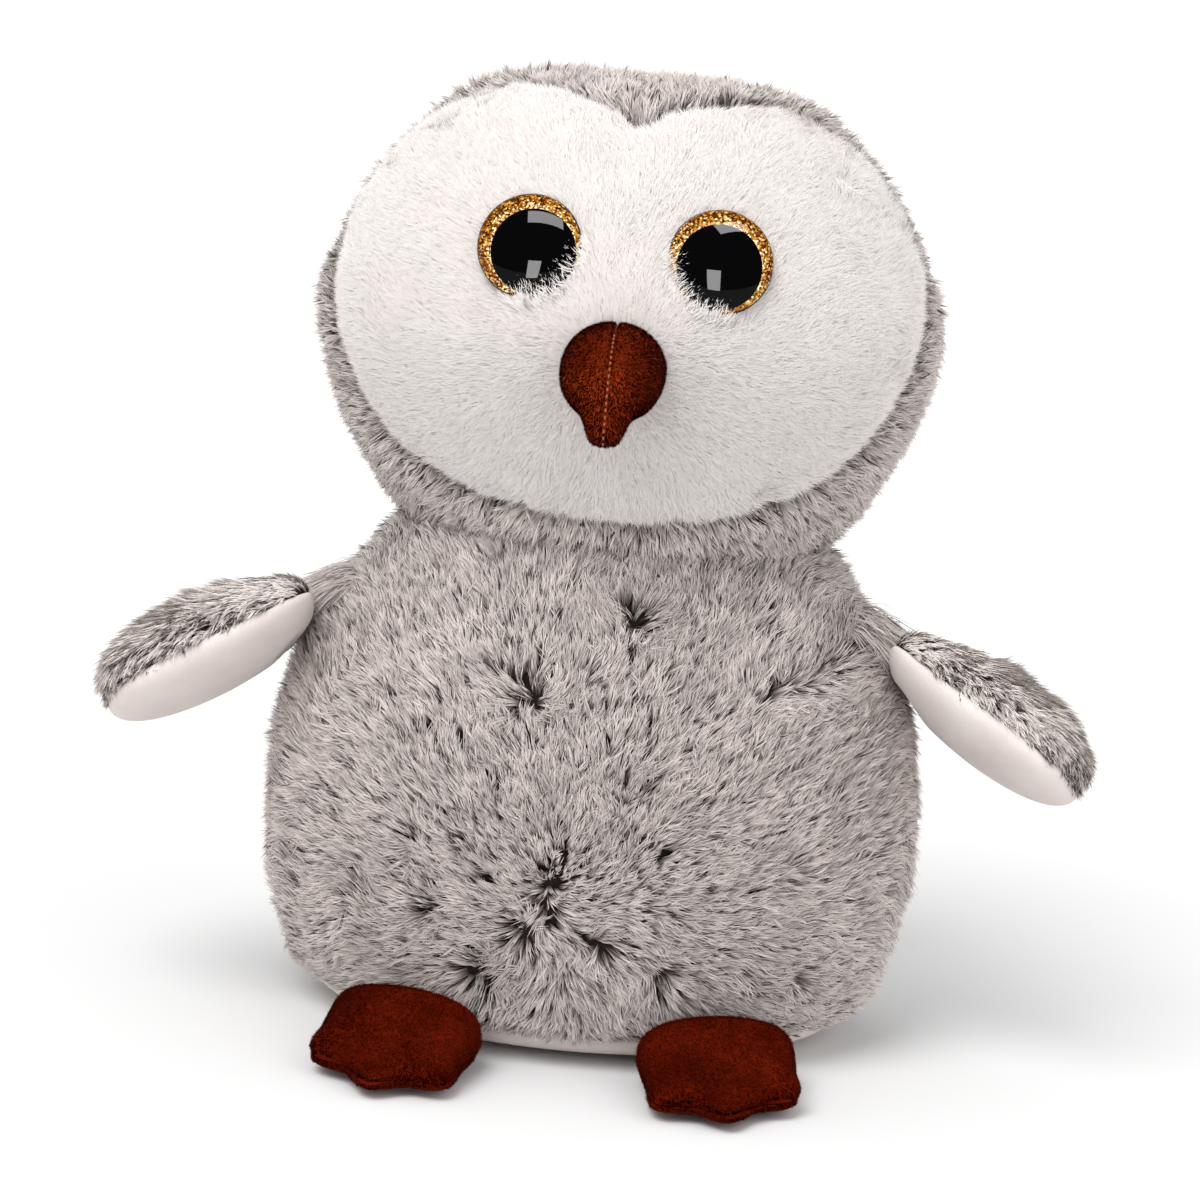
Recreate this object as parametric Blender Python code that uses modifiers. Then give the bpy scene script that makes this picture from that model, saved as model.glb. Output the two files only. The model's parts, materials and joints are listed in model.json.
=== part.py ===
"""A sitting plush owl: a wide head on a pear-shaped body, two wings and two three-toed feet.

Every sewn cover, filling and plastic eye piece is its own object. Units are metres, +Z is up,
the owl faces -Y and the origin is the middle of the flat base that it sits on.
"""

import math

import bmesh
import bpy
from mathutils import Matrix, Vector
from mathutils.bvhtree import BVHTree

# Fits and walls shared by all pieces
GAP = 0.0003
FILLING_GAP = 0.0006
OVERRUN = 0.05
MERGE = 0.00001
PLUSH = 0.008
LINING = 0.0025
NAP = 0.002
SEAT_SAMPLES = 8
SEAT_HALVINGS = 40
PIVOT_SIZE = 0.03
SHARP_ANGLE = math.radians(35)

# Body
BODY_HALF_WIDTH = 0.137
BODY_FRONT = 0.109
BODY_BACK = 0.107
NECK_HEIGHT = 0.204
BODY_OVER_NECK = 0.042
BODY_CROWN = NECK_HEIGHT + BODY_OVER_NECK
BASE_SEAM_HEIGHT = 0.013
SIDE_SEAM_SHIFT = 0.006
BODY_SEGMENTS = 12
BODY_RING_SHARES = (
    (0.000, 0.34),
    (0.000, 0.68),
    (0.030, 0.88),
    (0.160, 0.99),
    (0.350, 1.03),
    (0.530, 1.00),
    (0.690, 0.885),
    (0.815, 0.68),
    (0.920, 0.56),
)

# Weighted bag that lies on the base inside the body
BAG_HALF_WIDTH = 0.066
BAG_HALF_DEPTH = 0.058
BAG_HEIGHT = 0.038
BAG_SEGMENTS = 10
BAG_RING_SHARES = (
    (0.00, 0.55),
    (0.18, 0.96),
    (0.55, 1.00),
    (0.90, 0.62),
)

# Head
HEAD_HALF_WIDTH = 0.130
HEAD_FRONT = 0.104
HEAD_BACK = 0.100
HEAD_HEIGHT = 0.194
HEAD_UNDER_NECK = 0.026
HEAD_CROWN = NECK_HEIGHT + HEAD_HEIGHT
HEAD_CHIN = NECK_HEIGHT - HEAD_UNDER_NECK
HEAD_SEGMENTS = 12
HEAD_RING_SHARES = (
    (0.030, 0.40),
    (0.110, 0.62),
    (0.200, 0.79),
    (0.350, 0.93),
    (0.530, 1.03),
    (0.700, 0.95),
    (0.840, 0.80),
    (0.950, 0.62),
    (1.000, 0.40),
)

# Face panel, seen from the front, within the bands of grey that the head covers leave round it
CHEEK_BAND = 0.013
BROW_BAND = 0.008
CHIN_BAND = 0.024
FACE_HALF_WIDTH = HEAD_HALF_WIDTH - CHEEK_BAND
FACE_TOP = HEAD_CROWN - BROW_BAND
FACE_BOTTOM = NECK_HEIGHT + CHIN_BAND
FACE_SMOOTHING = 3
FACE_OUTLINE_SHARES = (
    (0.00, 0.85),
    (0.08, 0.91),
    (0.22, 0.96),
    (0.42, 0.97),
    (0.61, 0.88),
    (0.78, 0.72),
    (0.91, 0.50),
    (0.99, 0.20),
    (0.99, -0.14),
    (0.90, -0.47),
    (0.72, -0.76),
    (0.44, -0.94),
    (0.15, -1.00),
)

# Eyes
EYE_SPREAD = 0.038
EYE_HEIGHT_SHARE = 0.67
EYE_RADIUS = 0.0212
EYE_DOME_HEIGHT = 0.0092
EYE_RIM = 0.0012
EYE_SINK = 0.0035
EYE_FACING_SHARE = 0.45
EYE_SEGMENTS = 20
EYE_DOME_STEPS = 4
IRIS_THICKNESS = 0.0006
BACKING_THICKNESS = 0.0014
POST_RADIUS = 0.0030
POST_LENGTH = 0.018
WASHER_RADIUS = 0.0095
WASHER_THICKNESS = 0.0016
WASHER_DEPTH = 0.0088

# Beak
BEAK_HEIGHT_SHARE = 0.448
BEAK_HALF_WIDTH = 0.0205
BEAK_HALF_HEIGHT = 0.0180
BEAK_REACH = 0.032
BEAK_DROP = 0.027
BEAK_ROOT = 0.012
BEAK_FELT = 0.0015
BEAK_SEGMENTS = 16
BEAK_RING_SHARES = (
    (0.00, 0.98),
    (0.22, 1.00),
    (0.42, 0.96),
    (0.60, 0.75),
    (0.74, 0.48),
    (0.88, 0.34),
)

# Wings
WING_LENGTH = 0.083
WING_HALF_CHORD = 0.041
WING_TOP = 0.023
WING_UNDERSIDE = 0.019
WING_ROOT_RADIUS = 0.012
WING_ROOT_HEIGHT_SHARE = 0.838
WING_SEAM_SHARE = 0.66
WING_FLARE_SHARE = 0.38
WING_ROOT_DEPTH = -0.012
WING_DROOP = math.radians(24)
WING_SWEEP = math.radians(28)
WING_ROLL = math.radians(12)
WING_SEGMENTS = 8
WING_RING_SHARES = (
    (0.020, 0.44, 0.78),
    (0.090, 0.70, 0.90),
    (0.170, 0.84, 0.97),
    (0.440, 1.04, 1.05),
    (0.720, 0.98, 1.00),
    (0.910, 0.70, 0.74),
)

# Feet
FOOT_SPREAD_SHARE = 0.41
FOOT_SPLAY = math.radians(8)
FOOT_LENGTH = 0.064
FOOT_HALF_WIDTH = 0.034
FOOT_HEIGHT = 0.030
FOOT_ROOT_RADIUS = FOOT_HEIGHT / 2
FOOT_TOE_HEIGHT = 0.017
FOOT_SEAM_HEIGHT = 0.0075
FOOT_FLARE_SHARE = 0.5
TOE_LOBE = 0.009
TOE_SPREAD = math.radians(45)
TOE_WIDTH = math.radians(16)
FOOT_SEGMENTS = 32
FOOT_RING_SHARES = (
    (0.00, 0.84),
    (0.28, 1.00),
    (0.62, 0.98),
    (0.78, 0.86),
    (0.90, 0.66),
)

# Colours, linear RGB, with roughness
GREY_PLUSH = ((0.52, 0.48, 0.45), 0.95)
WHITE_PLUSH = ((0.84, 0.82, 0.80), 0.95)
PALE_LINING = ((0.76, 0.72, 0.69), 0.85)
RUST_FELT = ((0.26, 0.04, 0.008), 0.90)
BEAK_FELT_LOOK = ((0.36, 0.08, 0.020), 0.90)
CLEAR_PLASTIC = ((0.01, 0.01, 0.01), 0.05)
GOLD_GLITTER = ((0.60, 0.38, 0.10), 0.30)
BLACK_PLASTIC = ((0.02, 0.02, 0.02), 0.35)
WHITE_PLASTIC = ((0.80, 0.80, 0.78), 0.40)
POLYESTER = ((0.90, 0.90, 0.90), 1.00)
PELLET_CLOTH = ((0.70, 0.68, 0.62), 0.90)


def clear_scene():
    for old in list(bpy.data.objects):
        bpy.data.objects.remove(old, do_unlink=True)


def new_collection(name):
    made = bpy.data.collections.new(name)
    bpy.context.scene.collection.children.link(made)
    return made


clear_scene()
PARTS = new_collection("plush_owl")
CUTTERS = new_collection("cutters")
CUTTERS.hide_render = True


def finish_of(name, look, metallic):
    """A plain material of its own for one piece."""
    colour, roughness = look
    material = bpy.data.materials.new(name)
    material.use_nodes = True
    shader = material.node_tree.nodes["Principled BSDF"]
    shader.inputs["Base Color"].default_value = (*colour, 1)
    shader.inputs["Roughness"].default_value = roughness
    shader.inputs["Metallic"].default_value = metallic
    return material


def add_piece(name, mesh, look, parent=None, metallic=0):
    """One named piece of the owl, from a mesh in world coordinates."""
    piece = bpy.data.objects.new(name, mesh)
    piece.data.materials.append(finish_of(name, look, metallic))
    PARTS.objects.link(piece)
    mesh.shade_smooth()
    mesh.set_sharp_from_angle(angle=SHARP_ANGLE)
    if parent is not None:
        piece.parent = parent
        piece.matrix_parent_inverse = parent.matrix_world.inverted()
    return piece


def add_cutter(name, mesh):
    cutter = bpy.data.objects.new(name, mesh)
    cutter.hide_render = True
    cutter.display_type = "WIRE"
    CUTTERS.objects.link(cutter)
    return cutter


def add_pivot(name, matrix):
    """An empty on a joint's axis, which lies along the empty's X."""
    pivot = bpy.data.objects.new(name, None)
    pivot.empty_display_size = PIVOT_SIZE
    pivot.matrix_world = matrix
    PARTS.objects.link(pivot)
    bpy.context.view_layer.update()
    return pivot


def boolean(piece, cutter, operation):
    step = piece.modifiers.new(cutter.name, "BOOLEAN")
    step.operation = operation
    step.solver = "EXACT"
    step.object = cutter


def mesh_from(name, bm):
    mesh = bpy.data.meshes.new(name)
    bmesh.ops.recalc_face_normals(bm, faces=bm.faces[:])
    bm.to_mesh(mesh)
    bm.free()
    return mesh


def subdivided(bm):
    """The smooth form of a coarse cage, one level finer."""
    cage = bpy.data.objects.new("cage", mesh_from("cage", bm))
    PARTS.objects.link(cage)
    smooth = cage.modifiers.new("smooth", "SUBSURF")
    smooth.levels = 1
    smooth.render_levels = 1
    graph = bpy.context.evaluated_depsgraph_get()
    made = bpy.data.meshes.new_from_object(cage.evaluated_get(graph))
    bpy.data.objects.remove(cage, do_unlink=True)
    finer = bmesh.new()
    finer.from_mesh(made)
    bpy.data.meshes.remove(made)
    return finer


def stretch_to(bm, low, high):
    """Stretches a form along each axis, each side of zero by itself, to reach its true size."""
    for axis in range(3):
        least = min(v.co[axis] for v in bm.verts)
        most = max(v.co[axis] for v in bm.verts)
        if axis == 2:
            for v in bm.verts:
                share = (v.co[axis] - least) / (most - least)
                v.co[axis] = low[axis] + share * (high[axis] - low[axis])
        else:
            for v in bm.verts:
                side = high[axis] / most if v.co[axis] > 0 else low[axis] / least
                v.co[axis] *= side


def ring_form(ring_shares, segments, low, high, smooth=True, outline=None):
    """A closed soft form whose rings, low to high, swell and taper as their shares say.

    low and high are its reach on each axis; the ring axis is Z, and every ring is round
    until the sizes stretch it. A third share sets a ring's width along X by itself.
    """
    bm = bmesh.new()
    bmesh.ops.create_uvsphere(bm, u_segments=segments, v_segments=len(ring_shares) + 1, radius=1)
    for v in bm.verts:
        polar = math.acos(max(-1, min(1, -v.co.z)))
        ring = round(polar / math.pi * (len(ring_shares) + 1))
        if ring in (0, len(ring_shares) + 1):
            v.co = Vector((0, 0, 0 if ring == 0 else 1))
            continue
        shares = ring_shares[ring - 1]
        angle = math.atan2(v.co.y, v.co.x)
        bulge = outline(angle) if outline else 1
        across = shares[-1] if len(shares) > 2 else shares[1]
        v.co = Vector((math.cos(angle) * across * bulge, math.sin(angle) * shares[1] * bulge, shares[0]))
    if smooth:
        bm = subdivided(bm)
    stretch_to(bm, low, high)
    return bm


def cut_flat(bm, height, keep_above):
    """Cuts a closed form flat at a height and closes it again."""
    bmesh.ops.bisect_plane(
        bm,
        geom=bm.verts[:] + bm.edges[:] + bm.faces[:],
        plane_co=(0, 0, height),
        plane_no=(0, 0, -1 if keep_above else 1),
        clear_outer=True,
    )
    rim = [edge for edge in bm.edges if edge.is_boundary]
    bmesh.ops.edgeloop_fill(bm, edges=rim)
    return bm


def box_mesh(name, low, high):
    bm = bmesh.new()
    bmesh.ops.create_cube(bm, size=1)
    size = Vector(high) - Vector(low)
    middle = (Vector(high) + Vector(low)) / 2
    for v in bm.verts:
        v.co = Vector(v.co[axis] * size[axis] for axis in range(3)) + middle
    return mesh_from(name, bm)


def turned_mesh(name, profile, segments, matrix):
    """A turned piece: its profile, top to bottom at +X, spun about Z and then set in place."""
    mesh = bpy.data.meshes.new(name)
    mesh.from_pydata([(x, 0, z) for x, z in profile], [(i, i + 1) for i in range(len(profile) - 1)], [])
    blank = bpy.data.objects.new(name, mesh)
    PARTS.objects.link(blank)
    screw = blank.modifiers.new("turn", "SCREW")
    screw.steps = segments
    screw.render_steps = segments
    screw.use_merge_vertices = True
    screw.merge_threshold = MERGE
    graph = bpy.context.evaluated_depsgraph_get()
    made = bpy.data.meshes.new_from_object(blank.evaluated_get(graph))
    bpy.data.objects.remove(blank, do_unlink=True)
    bm = bmesh.new()
    bm.from_mesh(made)
    bmesh.ops.remove_doubles(bm, verts=bm.verts[:], dist=MERGE)
    bm.transform(matrix)
    return mesh_from(name, bm)


# Body: one outer form, one inner form, and panels cut from the wall between them


def body_form(side, base):
    """The body's form, with its wall drawn in by side, and by base under it."""
    return ring_form(
        BODY_RING_SHARES,
        BODY_SEGMENTS,
        (-BODY_HALF_WIDTH + side, -BODY_FRONT + side, base),
        (BODY_HALF_WIDTH - side, BODY_BACK - side, BODY_CROWN - side),
    )


def seated_body(side, base):
    return cut_flat(body_form(side, base), NECK_HEIGHT - GAP / 2, keep_above=False)


def body_spot(start, direction):
    """Where a line meets the body's surface, and the surface's outward direction there."""
    form = body_form(0, 0)
    tree = BVHTree.FromBMesh(form)
    spot, normal, _, _ = tree.ray_cast(start, direction)
    form.free()
    return spot, normal if normal.dot(direction) < 0 else -normal


def hinge_seat(surface, outward, across, half_seam, radius):
    """The joint's place: outward from the surface, where a round root clears the body by the gap."""
    form = body_form(0, 0)
    tree = BVHTree.FromBMesh(form)
    near, far = 0, radius + OVERRUN
    shares = [step / SEAT_SAMPLES for step in range(-SEAT_SAMPLES, SEAT_SAMPLES + 1)]
    for _ in range(SEAT_HALVINGS):
        middle = (near + far) / 2
        centre = surface + outward * middle
        clear = min(tree.find_nearest(centre + across * share * half_seam)[3] for share in shares)
        if clear < radius + GAP:
            near = middle
        else:
            far = middle
    form.free()
    return surface + outward * far


def make_body():
    inner = add_cutter("body_inner", mesh_from("body_inner", body_form(PLUSH, LINING)))
    far = OVERRUN + BODY_HALF_WIDTH
    seam = BASE_SEAM_HEIGHT + GAP / 2
    split = SIDE_SEAM_SHIFT
    top = BODY_CROWN + OVERRUN
    regions = {
        "body_front_cover": ((-far, -far, seam), (far, split - GAP / 2, top)),
        "body_back_cover_left": ((GAP / 2, split + GAP / 2, seam), (far, far, top)),
        "body_back_cover_right": ((-far, split + GAP / 2, seam), (-GAP / 2, far, top)),
        "base_panel": ((-far, -far, -OVERRUN), (far, far, seam - GAP)),
    }
    for name, (low, high) in regions.items():
        look = PALE_LINING if name == "base_panel" else GREY_PLUSH
        panel = add_piece(name, mesh_from(name, seated_body(0, 0)), look)
        boolean(panel, inner, "DIFFERENCE")
        boolean(panel, add_cutter(name + "_region", box_mesh(name, low, high)), "INTERSECT")
    bag_floor = LINING + GAP
    bag = ring_form(
        BAG_RING_SHARES,
        BAG_SEGMENTS,
        (-BAG_HALF_WIDTH, -BAG_HALF_DEPTH, bag_floor),
        (BAG_HALF_WIDTH, BAG_HALF_DEPTH, bag_floor + BAG_HEIGHT),
    )
    add_piece("pellet_bag", mesh_from("pellet_bag", bag), PELLET_CLOTH)
    pocket = ring_form(
        BAG_RING_SHARES,
        BAG_SEGMENTS,
        (-BAG_HALF_WIDTH - GAP, -BAG_HALF_DEPTH - GAP, bag_floor - GAP),
        (BAG_HALF_WIDTH + GAP, BAG_HALF_DEPTH + GAP, bag_floor + BAG_HEIGHT + GAP),
    )
    stuffing_mesh = mesh_from("body_stuffing", seated_body(PLUSH + FILLING_GAP, LINING + FILLING_GAP))
    stuffing = add_piece("body_stuffing", stuffing_mesh, POLYESTER)
    boolean(stuffing, add_cutter("bag_pocket", mesh_from("bag_pocket", pocket)), "DIFFERENCE")


# Head


def head_form(inset):
    return ring_form(
        HEAD_RING_SHARES,
        HEAD_SEGMENTS,
        (-HEAD_HALF_WIDTH + inset, -HEAD_FRONT + inset, HEAD_CHIN + inset),
        (HEAD_HALF_WIDTH - inset, HEAD_BACK - inset, HEAD_CROWN - inset),
    )


def seated_head(inset):
    return cut_flat(head_form(inset), NECK_HEIGHT + GAP / 2, keep_above=True)


def smooth_outline(points, steps):
    """A closed smooth curve through the points."""
    made = []
    count = len(points)
    for index in range(count):
        before, start, end, after = (Vector(points[(index + k) % count]) for k in (-1, 0, 1, 2))
        for step in range(steps):
            t = step / steps
            bend = (after - 3 * end + 3 * start - before) * t + 2 * before - 5 * start + 4 * end - after
            made.append(start + ((bend * t + end - before) * t) / 2)
    return made


def face_cutter(name, grow):
    """A prism through the head's front, on the outline of the face panel."""
    right = [Vector(share) for share in FACE_OUTLINE_SHARES]
    left = [Vector((-share.x, share.y)) for share in reversed(right[1:])]
    half_height = (FACE_TOP - FACE_BOTTOM) / 2
    corners = []
    for share in smooth_outline(right + left, FACE_SMOOTHING):
        spot = Vector((share.x * FACE_HALF_WIDTH, share.y * half_height))
        spot += spot.normalized() * grow
        corners.append((spot.x, FACE_BOTTOM + half_height + spot.y))
    bm = bmesh.new()
    front = -HEAD_FRONT - OVERRUN
    rim = [bm.verts.new((x, front, z)) for x, z in corners]
    face = bm.faces.new(rim)
    swept = bmesh.ops.extrude_face_region(bm, geom=[face])
    moved = [v for v in swept["geom"] if isinstance(v, bmesh.types.BMVert)]
    bmesh.ops.translate(bm, verts=moved, vec=(0, -front, 0))
    return add_cutter(name, mesh_from(name, bm))


def make_head(pivot):
    inner = add_cutter("head_inner", mesh_from("head_inner", head_form(PLUSH)))
    far = OVERRUN + HEAD_HALF_WIDTH
    top = HEAD_CROWN + OVERRUN
    face = add_piece("face_panel", mesh_from("face_panel", seated_head(0)), WHITE_PLUSH, pivot)
    boolean(face, inner, "DIFFERENCE")
    boolean(face, face_cutter("face_outline", 0), "INTERSECT")
    opening = face_cutter("face_opening", GAP)
    for side, name in ((1, "head_cover_left"), (-1, "head_cover_right")):
        cover = add_piece(name, mesh_from(name, seated_head(0)), GREY_PLUSH, pivot)
        ends = sorted((side * GAP / 2, side * far))
        half = box_mesh(name, (ends[0], -far, 0), (ends[1], far, top))
        boolean(cover, inner, "DIFFERENCE")
        boolean(cover, opening, "DIFFERENCE")
        boolean(cover, add_cutter(name + "_region", half), "INTERSECT")
    stuffing_mesh = mesh_from("head_stuffing", seated_head(PLUSH + FILLING_GAP))
    stuffing = add_piece("head_stuffing", stuffing_mesh, POLYESTER, pivot)
    return face, stuffing


def surface_spot(x, z):
    """The point and the outward direction of the head's front at a place seen from the front."""
    form = head_form(0)
    tree = BVHTree.FromBMesh(form)
    spot, normal, _, _ = tree.ray_cast(Vector((x, -HEAD_FRONT - OVERRUN, z)), Vector((0, 1, 0)))
    form.free()
    return spot, normal if normal.y < 0 else -normal


def eye_matrix(side):
    """The eye's seat: Z points out of the face, zero is the back of its plastic."""
    spot, normal = surface_spot(side * EYE_SPREAD, NECK_HEIGHT + HEAD_HEIGHT * EYE_HEIGHT_SHARE)
    outward = normal.lerp(Vector((0, -1, 0)), 1 - EYE_FACING_SHARE).normalized()
    turn = outward.to_track_quat("Z", "Y").to_matrix().to_4x4()
    return Matrix.Translation(spot - outward * EYE_SINK) @ turn


def dome_profile(radius, rim, height):
    """The outer line of a low dome, from its top to its rim."""
    arc = []
    for step in range(EYE_DOME_STEPS + 1):
        angle = math.pi / 2 * step / EYE_DOME_STEPS
        arc.append((radius * math.sin(angle), rim + (height - rim) * math.cos(angle)))
    return arc


def make_eye(side_name, side, face, stuffing, pivot):
    matrix = eye_matrix(side)
    plate = EYE_RADIUS - EYE_RIM
    seat = BACKING_THICKNESS
    disc = seat + GAP
    hollow = disc + IRIS_THICKNESS + GAP
    names = {kind: f"eye_{side_name}_{kind}" for kind in ("lens", "iris", "backing", "washer")}

    lens = dome_profile(EYE_RADIUS, hollow, seat + EYE_DOME_HEIGHT)
    lens += [(EYE_RADIUS, disc), (plate + GAP, disc), (plate + GAP, hollow), (0, hollow)]
    iris = [(0, disc + IRIS_THICKNESS), (plate, disc + IRIS_THICKNESS), (plate, disc), (0, disc)]
    backing = [(0, seat), (EYE_RADIUS, seat), (EYE_RADIUS, 0), (POST_RADIUS, 0)]
    backing += [(POST_RADIUS, -POST_LENGTH), (0, -POST_LENGTH)]
    low = -WASHER_DEPTH - WASHER_THICKNESS
    bore = POST_RADIUS + GAP
    ring = [(bore, -WASHER_DEPTH), (WASHER_RADIUS, -WASHER_DEPTH), (WASHER_RADIUS, low), (bore, low)]
    ring.append(ring[0])
    profiles = {
        "lens": (lens, CLEAR_PLASTIC),
        "iris": (iris, GOLD_GLITTER),
        "backing": (backing, BLACK_PLASTIC),
        "washer": (ring, WHITE_PLASTIC),
    }
    for kind, (profile, look) in profiles.items():
        mesh = turned_mesh(names[kind], profile, EYE_SEGMENTS, matrix)
        add_piece(names[kind], mesh, look, pivot, metallic=1 if kind == "iris" else 0)

    seat_cut = [(0, OVERRUN), (EYE_RADIUS + GAP, OVERRUN), (EYE_RADIUS + GAP, -GAP), (bore, -GAP)]
    seat_cut += [(bore, -POST_LENGTH - GAP), (0, -POST_LENGTH - GAP)]
    pocket_radius = WASHER_RADIUS + GAP
    pocket = [(0, OVERRUN), (pocket_radius, OVERRUN), (pocket_radius, low - GAP), (bore, low - GAP)]
    pocket += [(bore, -POST_LENGTH - GAP), (0, -POST_LENGTH - GAP)]
    for target, profile, name in ((face, seat_cut, "seat"), (stuffing, pocket, "pocket")):
        name = f"eye_{side_name}_{name}"
        boolean(target, add_cutter(name, turned_mesh(name, profile, EYE_SEGMENTS, matrix)), "DIFFERENCE")


def beak_form(inset):
    """A hooked cone: rings that shrink along a line which leaves the face and bends down."""
    spot, _ = surface_spot(0, NECK_HEIGHT + HEAD_HEIGHT * BEAK_HEIGHT_SHARE)
    bm = ring_form(
        BEAK_RING_SHARES,
        BEAK_SEGMENTS,
        (-BEAK_HALF_WIDTH + inset, -BEAK_HALF_HEIGHT + inset, 0),
        (BEAK_HALF_WIDTH - inset, BEAK_HALF_HEIGHT - inset, 1),
        smooth=False,
    )
    start = Vector((0, spot.y + BEAK_ROOT, spot.z))
    elbow = Vector((0, spot.y - BEAK_REACH, spot.z))
    tip = Vector((0, spot.y - BEAK_REACH, spot.z - BEAK_DROP))
    shorter = inset / BEAK_REACH
    for v in bm.verts:
        t = v.co.z * (1 - shorter) - shorter
        centre = start.lerp(elbow, t).lerp(elbow.lerp(tip, t), t)
        along = ((elbow - start).lerp(tip - elbow, t)).normalized()
        up = Vector((1, 0, 0)).cross(along)
        v.co = centre + Vector((1, 0, 0)) * v.co.x + up * v.co.y
    return bm


def make_beak(pivot):
    head = add_cutter("beak_seat", mesh_from("beak_seat", head_form(-GAP)))
    inner = add_cutter("beak_inner", mesh_from("beak_inner", beak_form(BEAK_FELT)))
    far = BEAK_HALF_WIDTH + OVERRUN
    for side, name in ((1, "beak_left_panel"), (-1, "beak_right_panel")):
        panel = add_piece(name, mesh_from(name, beak_form(0)), BEAK_FELT_LOOK, pivot)
        ends = sorted((side * GAP / 2, side * far))
        front = -HEAD_FRONT - BEAK_REACH - OVERRUN
        half = box_mesh(name, (ends[0], front, 0), (ends[1], 0, HEAD_CROWN))
        boolean(panel, add_cutter(name + "_region", half), "INTERSECT")
        boolean(panel, inner, "DIFFERENCE")
        boolean(panel, head, "DIFFERENCE")
    mesh = mesh_from("beak_stuffing", beak_form(BEAK_FELT + FILLING_GAP))
    filling = add_piece("beak_stuffing", mesh, POLYESTER, pivot)
    boolean(filling, head, "DIFFERENCE")


# Wings


def rounded_root(bm, radius, flare_share):
    """Draws what lies behind the joint's axis, along X, inside a round, and flares from there."""
    for v in bm.verts:
        if v.co.y > 0:
            reach = math.hypot(v.co.y, v.co.z)
            v.co.y *= min(1, radius / reach)
            v.co.z *= min(1, radius / reach)
        else:
            most = radius - v.co.y * flare_share
            v.co.z = max(-most, min(most, v.co.z))


def wing_matrix(side):
    """The wing's own axes: its span along -Y, and its chord along X, flush with the body."""
    span = Vector((side, 0, 0))
    span.rotate(Matrix.Rotation(side * WING_DROOP, 3, "Y"))
    span.rotate(Matrix.Rotation(-side * WING_SWEEP, 3, "Z"))
    outside = side * (BODY_HALF_WIDTH + OVERRUN)
    start = Vector((outside, WING_ROOT_DEPTH, NECK_HEIGHT * WING_ROOT_HEIGHT_SHARE))
    surface, normal = body_spot(start, Vector((-side, 0, 0)))
    chord = normal.cross(span).normalized()
    chord.rotate(Matrix.Rotation(-side * WING_ROLL, 3, span))
    turn = Matrix((chord, -span, chord.cross(-span))).transposed().to_4x4()
    half_seam = WING_HALF_CHORD * WING_SEAM_SHARE
    seat = hinge_seat(surface, span, chord, half_seam, WING_ROOT_RADIUS)
    return Matrix.Translation(seat) @ turn


def wing_form(top_inset, under_inset, edge_inset, root_inset):
    """The wing in its own axes: a puffed leaf with a round root about its joint."""
    bm = ring_form(
        WING_RING_SHARES,
        WING_SEGMENTS,
        (-WING_HALF_CHORD + edge_inset, -WING_UNDERSIDE + under_inset, -WING_ROOT_RADIUS + root_inset),
        (WING_HALF_CHORD - edge_inset, WING_TOP - top_inset, WING_LENGTH - edge_inset),
    )
    bm.transform(Matrix(((1, 0, 0, 0), (0, 0, -1, 0), (0, 1, 0, 0), (0, 0, 0, 1))))
    rounded_root(bm, WING_ROOT_RADIUS - root_inset, WING_FLARE_SHARE)
    return bm


def placed(bm, matrix):
    bm.transform(matrix)
    return bm


def make_wing(side_name, side):
    matrix = wing_matrix(side)
    pivot = add_pivot(f"wing_{side_name}_pivot", matrix)
    far = WING_LENGTH + OVERRUN
    wall = (PLUSH, LINING, LINING, LINING)
    inner_mesh = mesh_from("wing_inner", placed(wing_form(*wall), matrix))
    inner = add_cutter(f"wing_{side_name}_inner", inner_mesh)
    halves = (("outer", GAP / 2, far, GREY_PLUSH), ("lining", -far, -GAP / 2, PALE_LINING))
    for kind, low, high, look in halves:
        name = f"wing_{side_name}_{kind}"
        panel_mesh = mesh_from(name, placed(wing_form(0, 0, 0, 0), matrix))
        panel = add_piece(name, panel_mesh, look, pivot)
        region = box_mesh(name, (-far, -far, low), (far, far, high))
        region.transform(matrix)
        boolean(panel, inner, "DIFFERENCE")
        boolean(panel, add_cutter(name + "_region", region), "INTERSECT")
    name = f"wing_{side_name}_stuffing"
    filling = wing_form(*(inset + FILLING_GAP for inset in wall))
    add_piece(name, mesh_from(name, placed(filling, matrix)), POLYESTER, pivot)


# Feet


def toe_outline(angle):
    """How far the foot's edge stands out, seen from above: three toes at its front."""
    forward = angle + math.pi / 2
    forward = math.atan2(math.sin(forward), math.cos(forward))
    lobes = sum(
        math.exp(-(((forward - toe) / TOE_WIDTH) ** 2)) for toe in (-TOE_SPREAD, 0, TOE_SPREAD)
    )
    return 1 + TOE_LOBE / FOOT_HALF_WIDTH * lobes


def foot_form(wall, lean):
    """The foot in its own axes: toes towards -Y but for the lean, its sole flat, its root round."""
    low = wall - FOOT_ROOT_RADIUS
    bm = ring_form(
        FOOT_RING_SHARES,
        FOOT_SEGMENTS,
        (-FOOT_HALF_WIDTH + wall, -FOOT_LENGTH + wall, low),
        (FOOT_HALF_WIDTH - wall, FOOT_ROOT_RADIUS - wall, FOOT_HEIGHT - FOOT_ROOT_RADIUS - wall),
        smooth=False,
        outline=toe_outline,
    )
    height = FOOT_HEIGHT - 2 * wall
    for v in bm.verts:
        forward = max(0, -v.co.y / FOOT_LENGTH)
        v.co.z -= (FOOT_HEIGHT - FOOT_TOE_HEIGHT) * forward * (v.co.z - low) / height
        v.co.x += min(0, v.co.y) * math.tan(lean)
    rounded_root(bm, FOOT_ROOT_RADIUS - wall, FOOT_FLARE_SHARE)
    return bm


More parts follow.
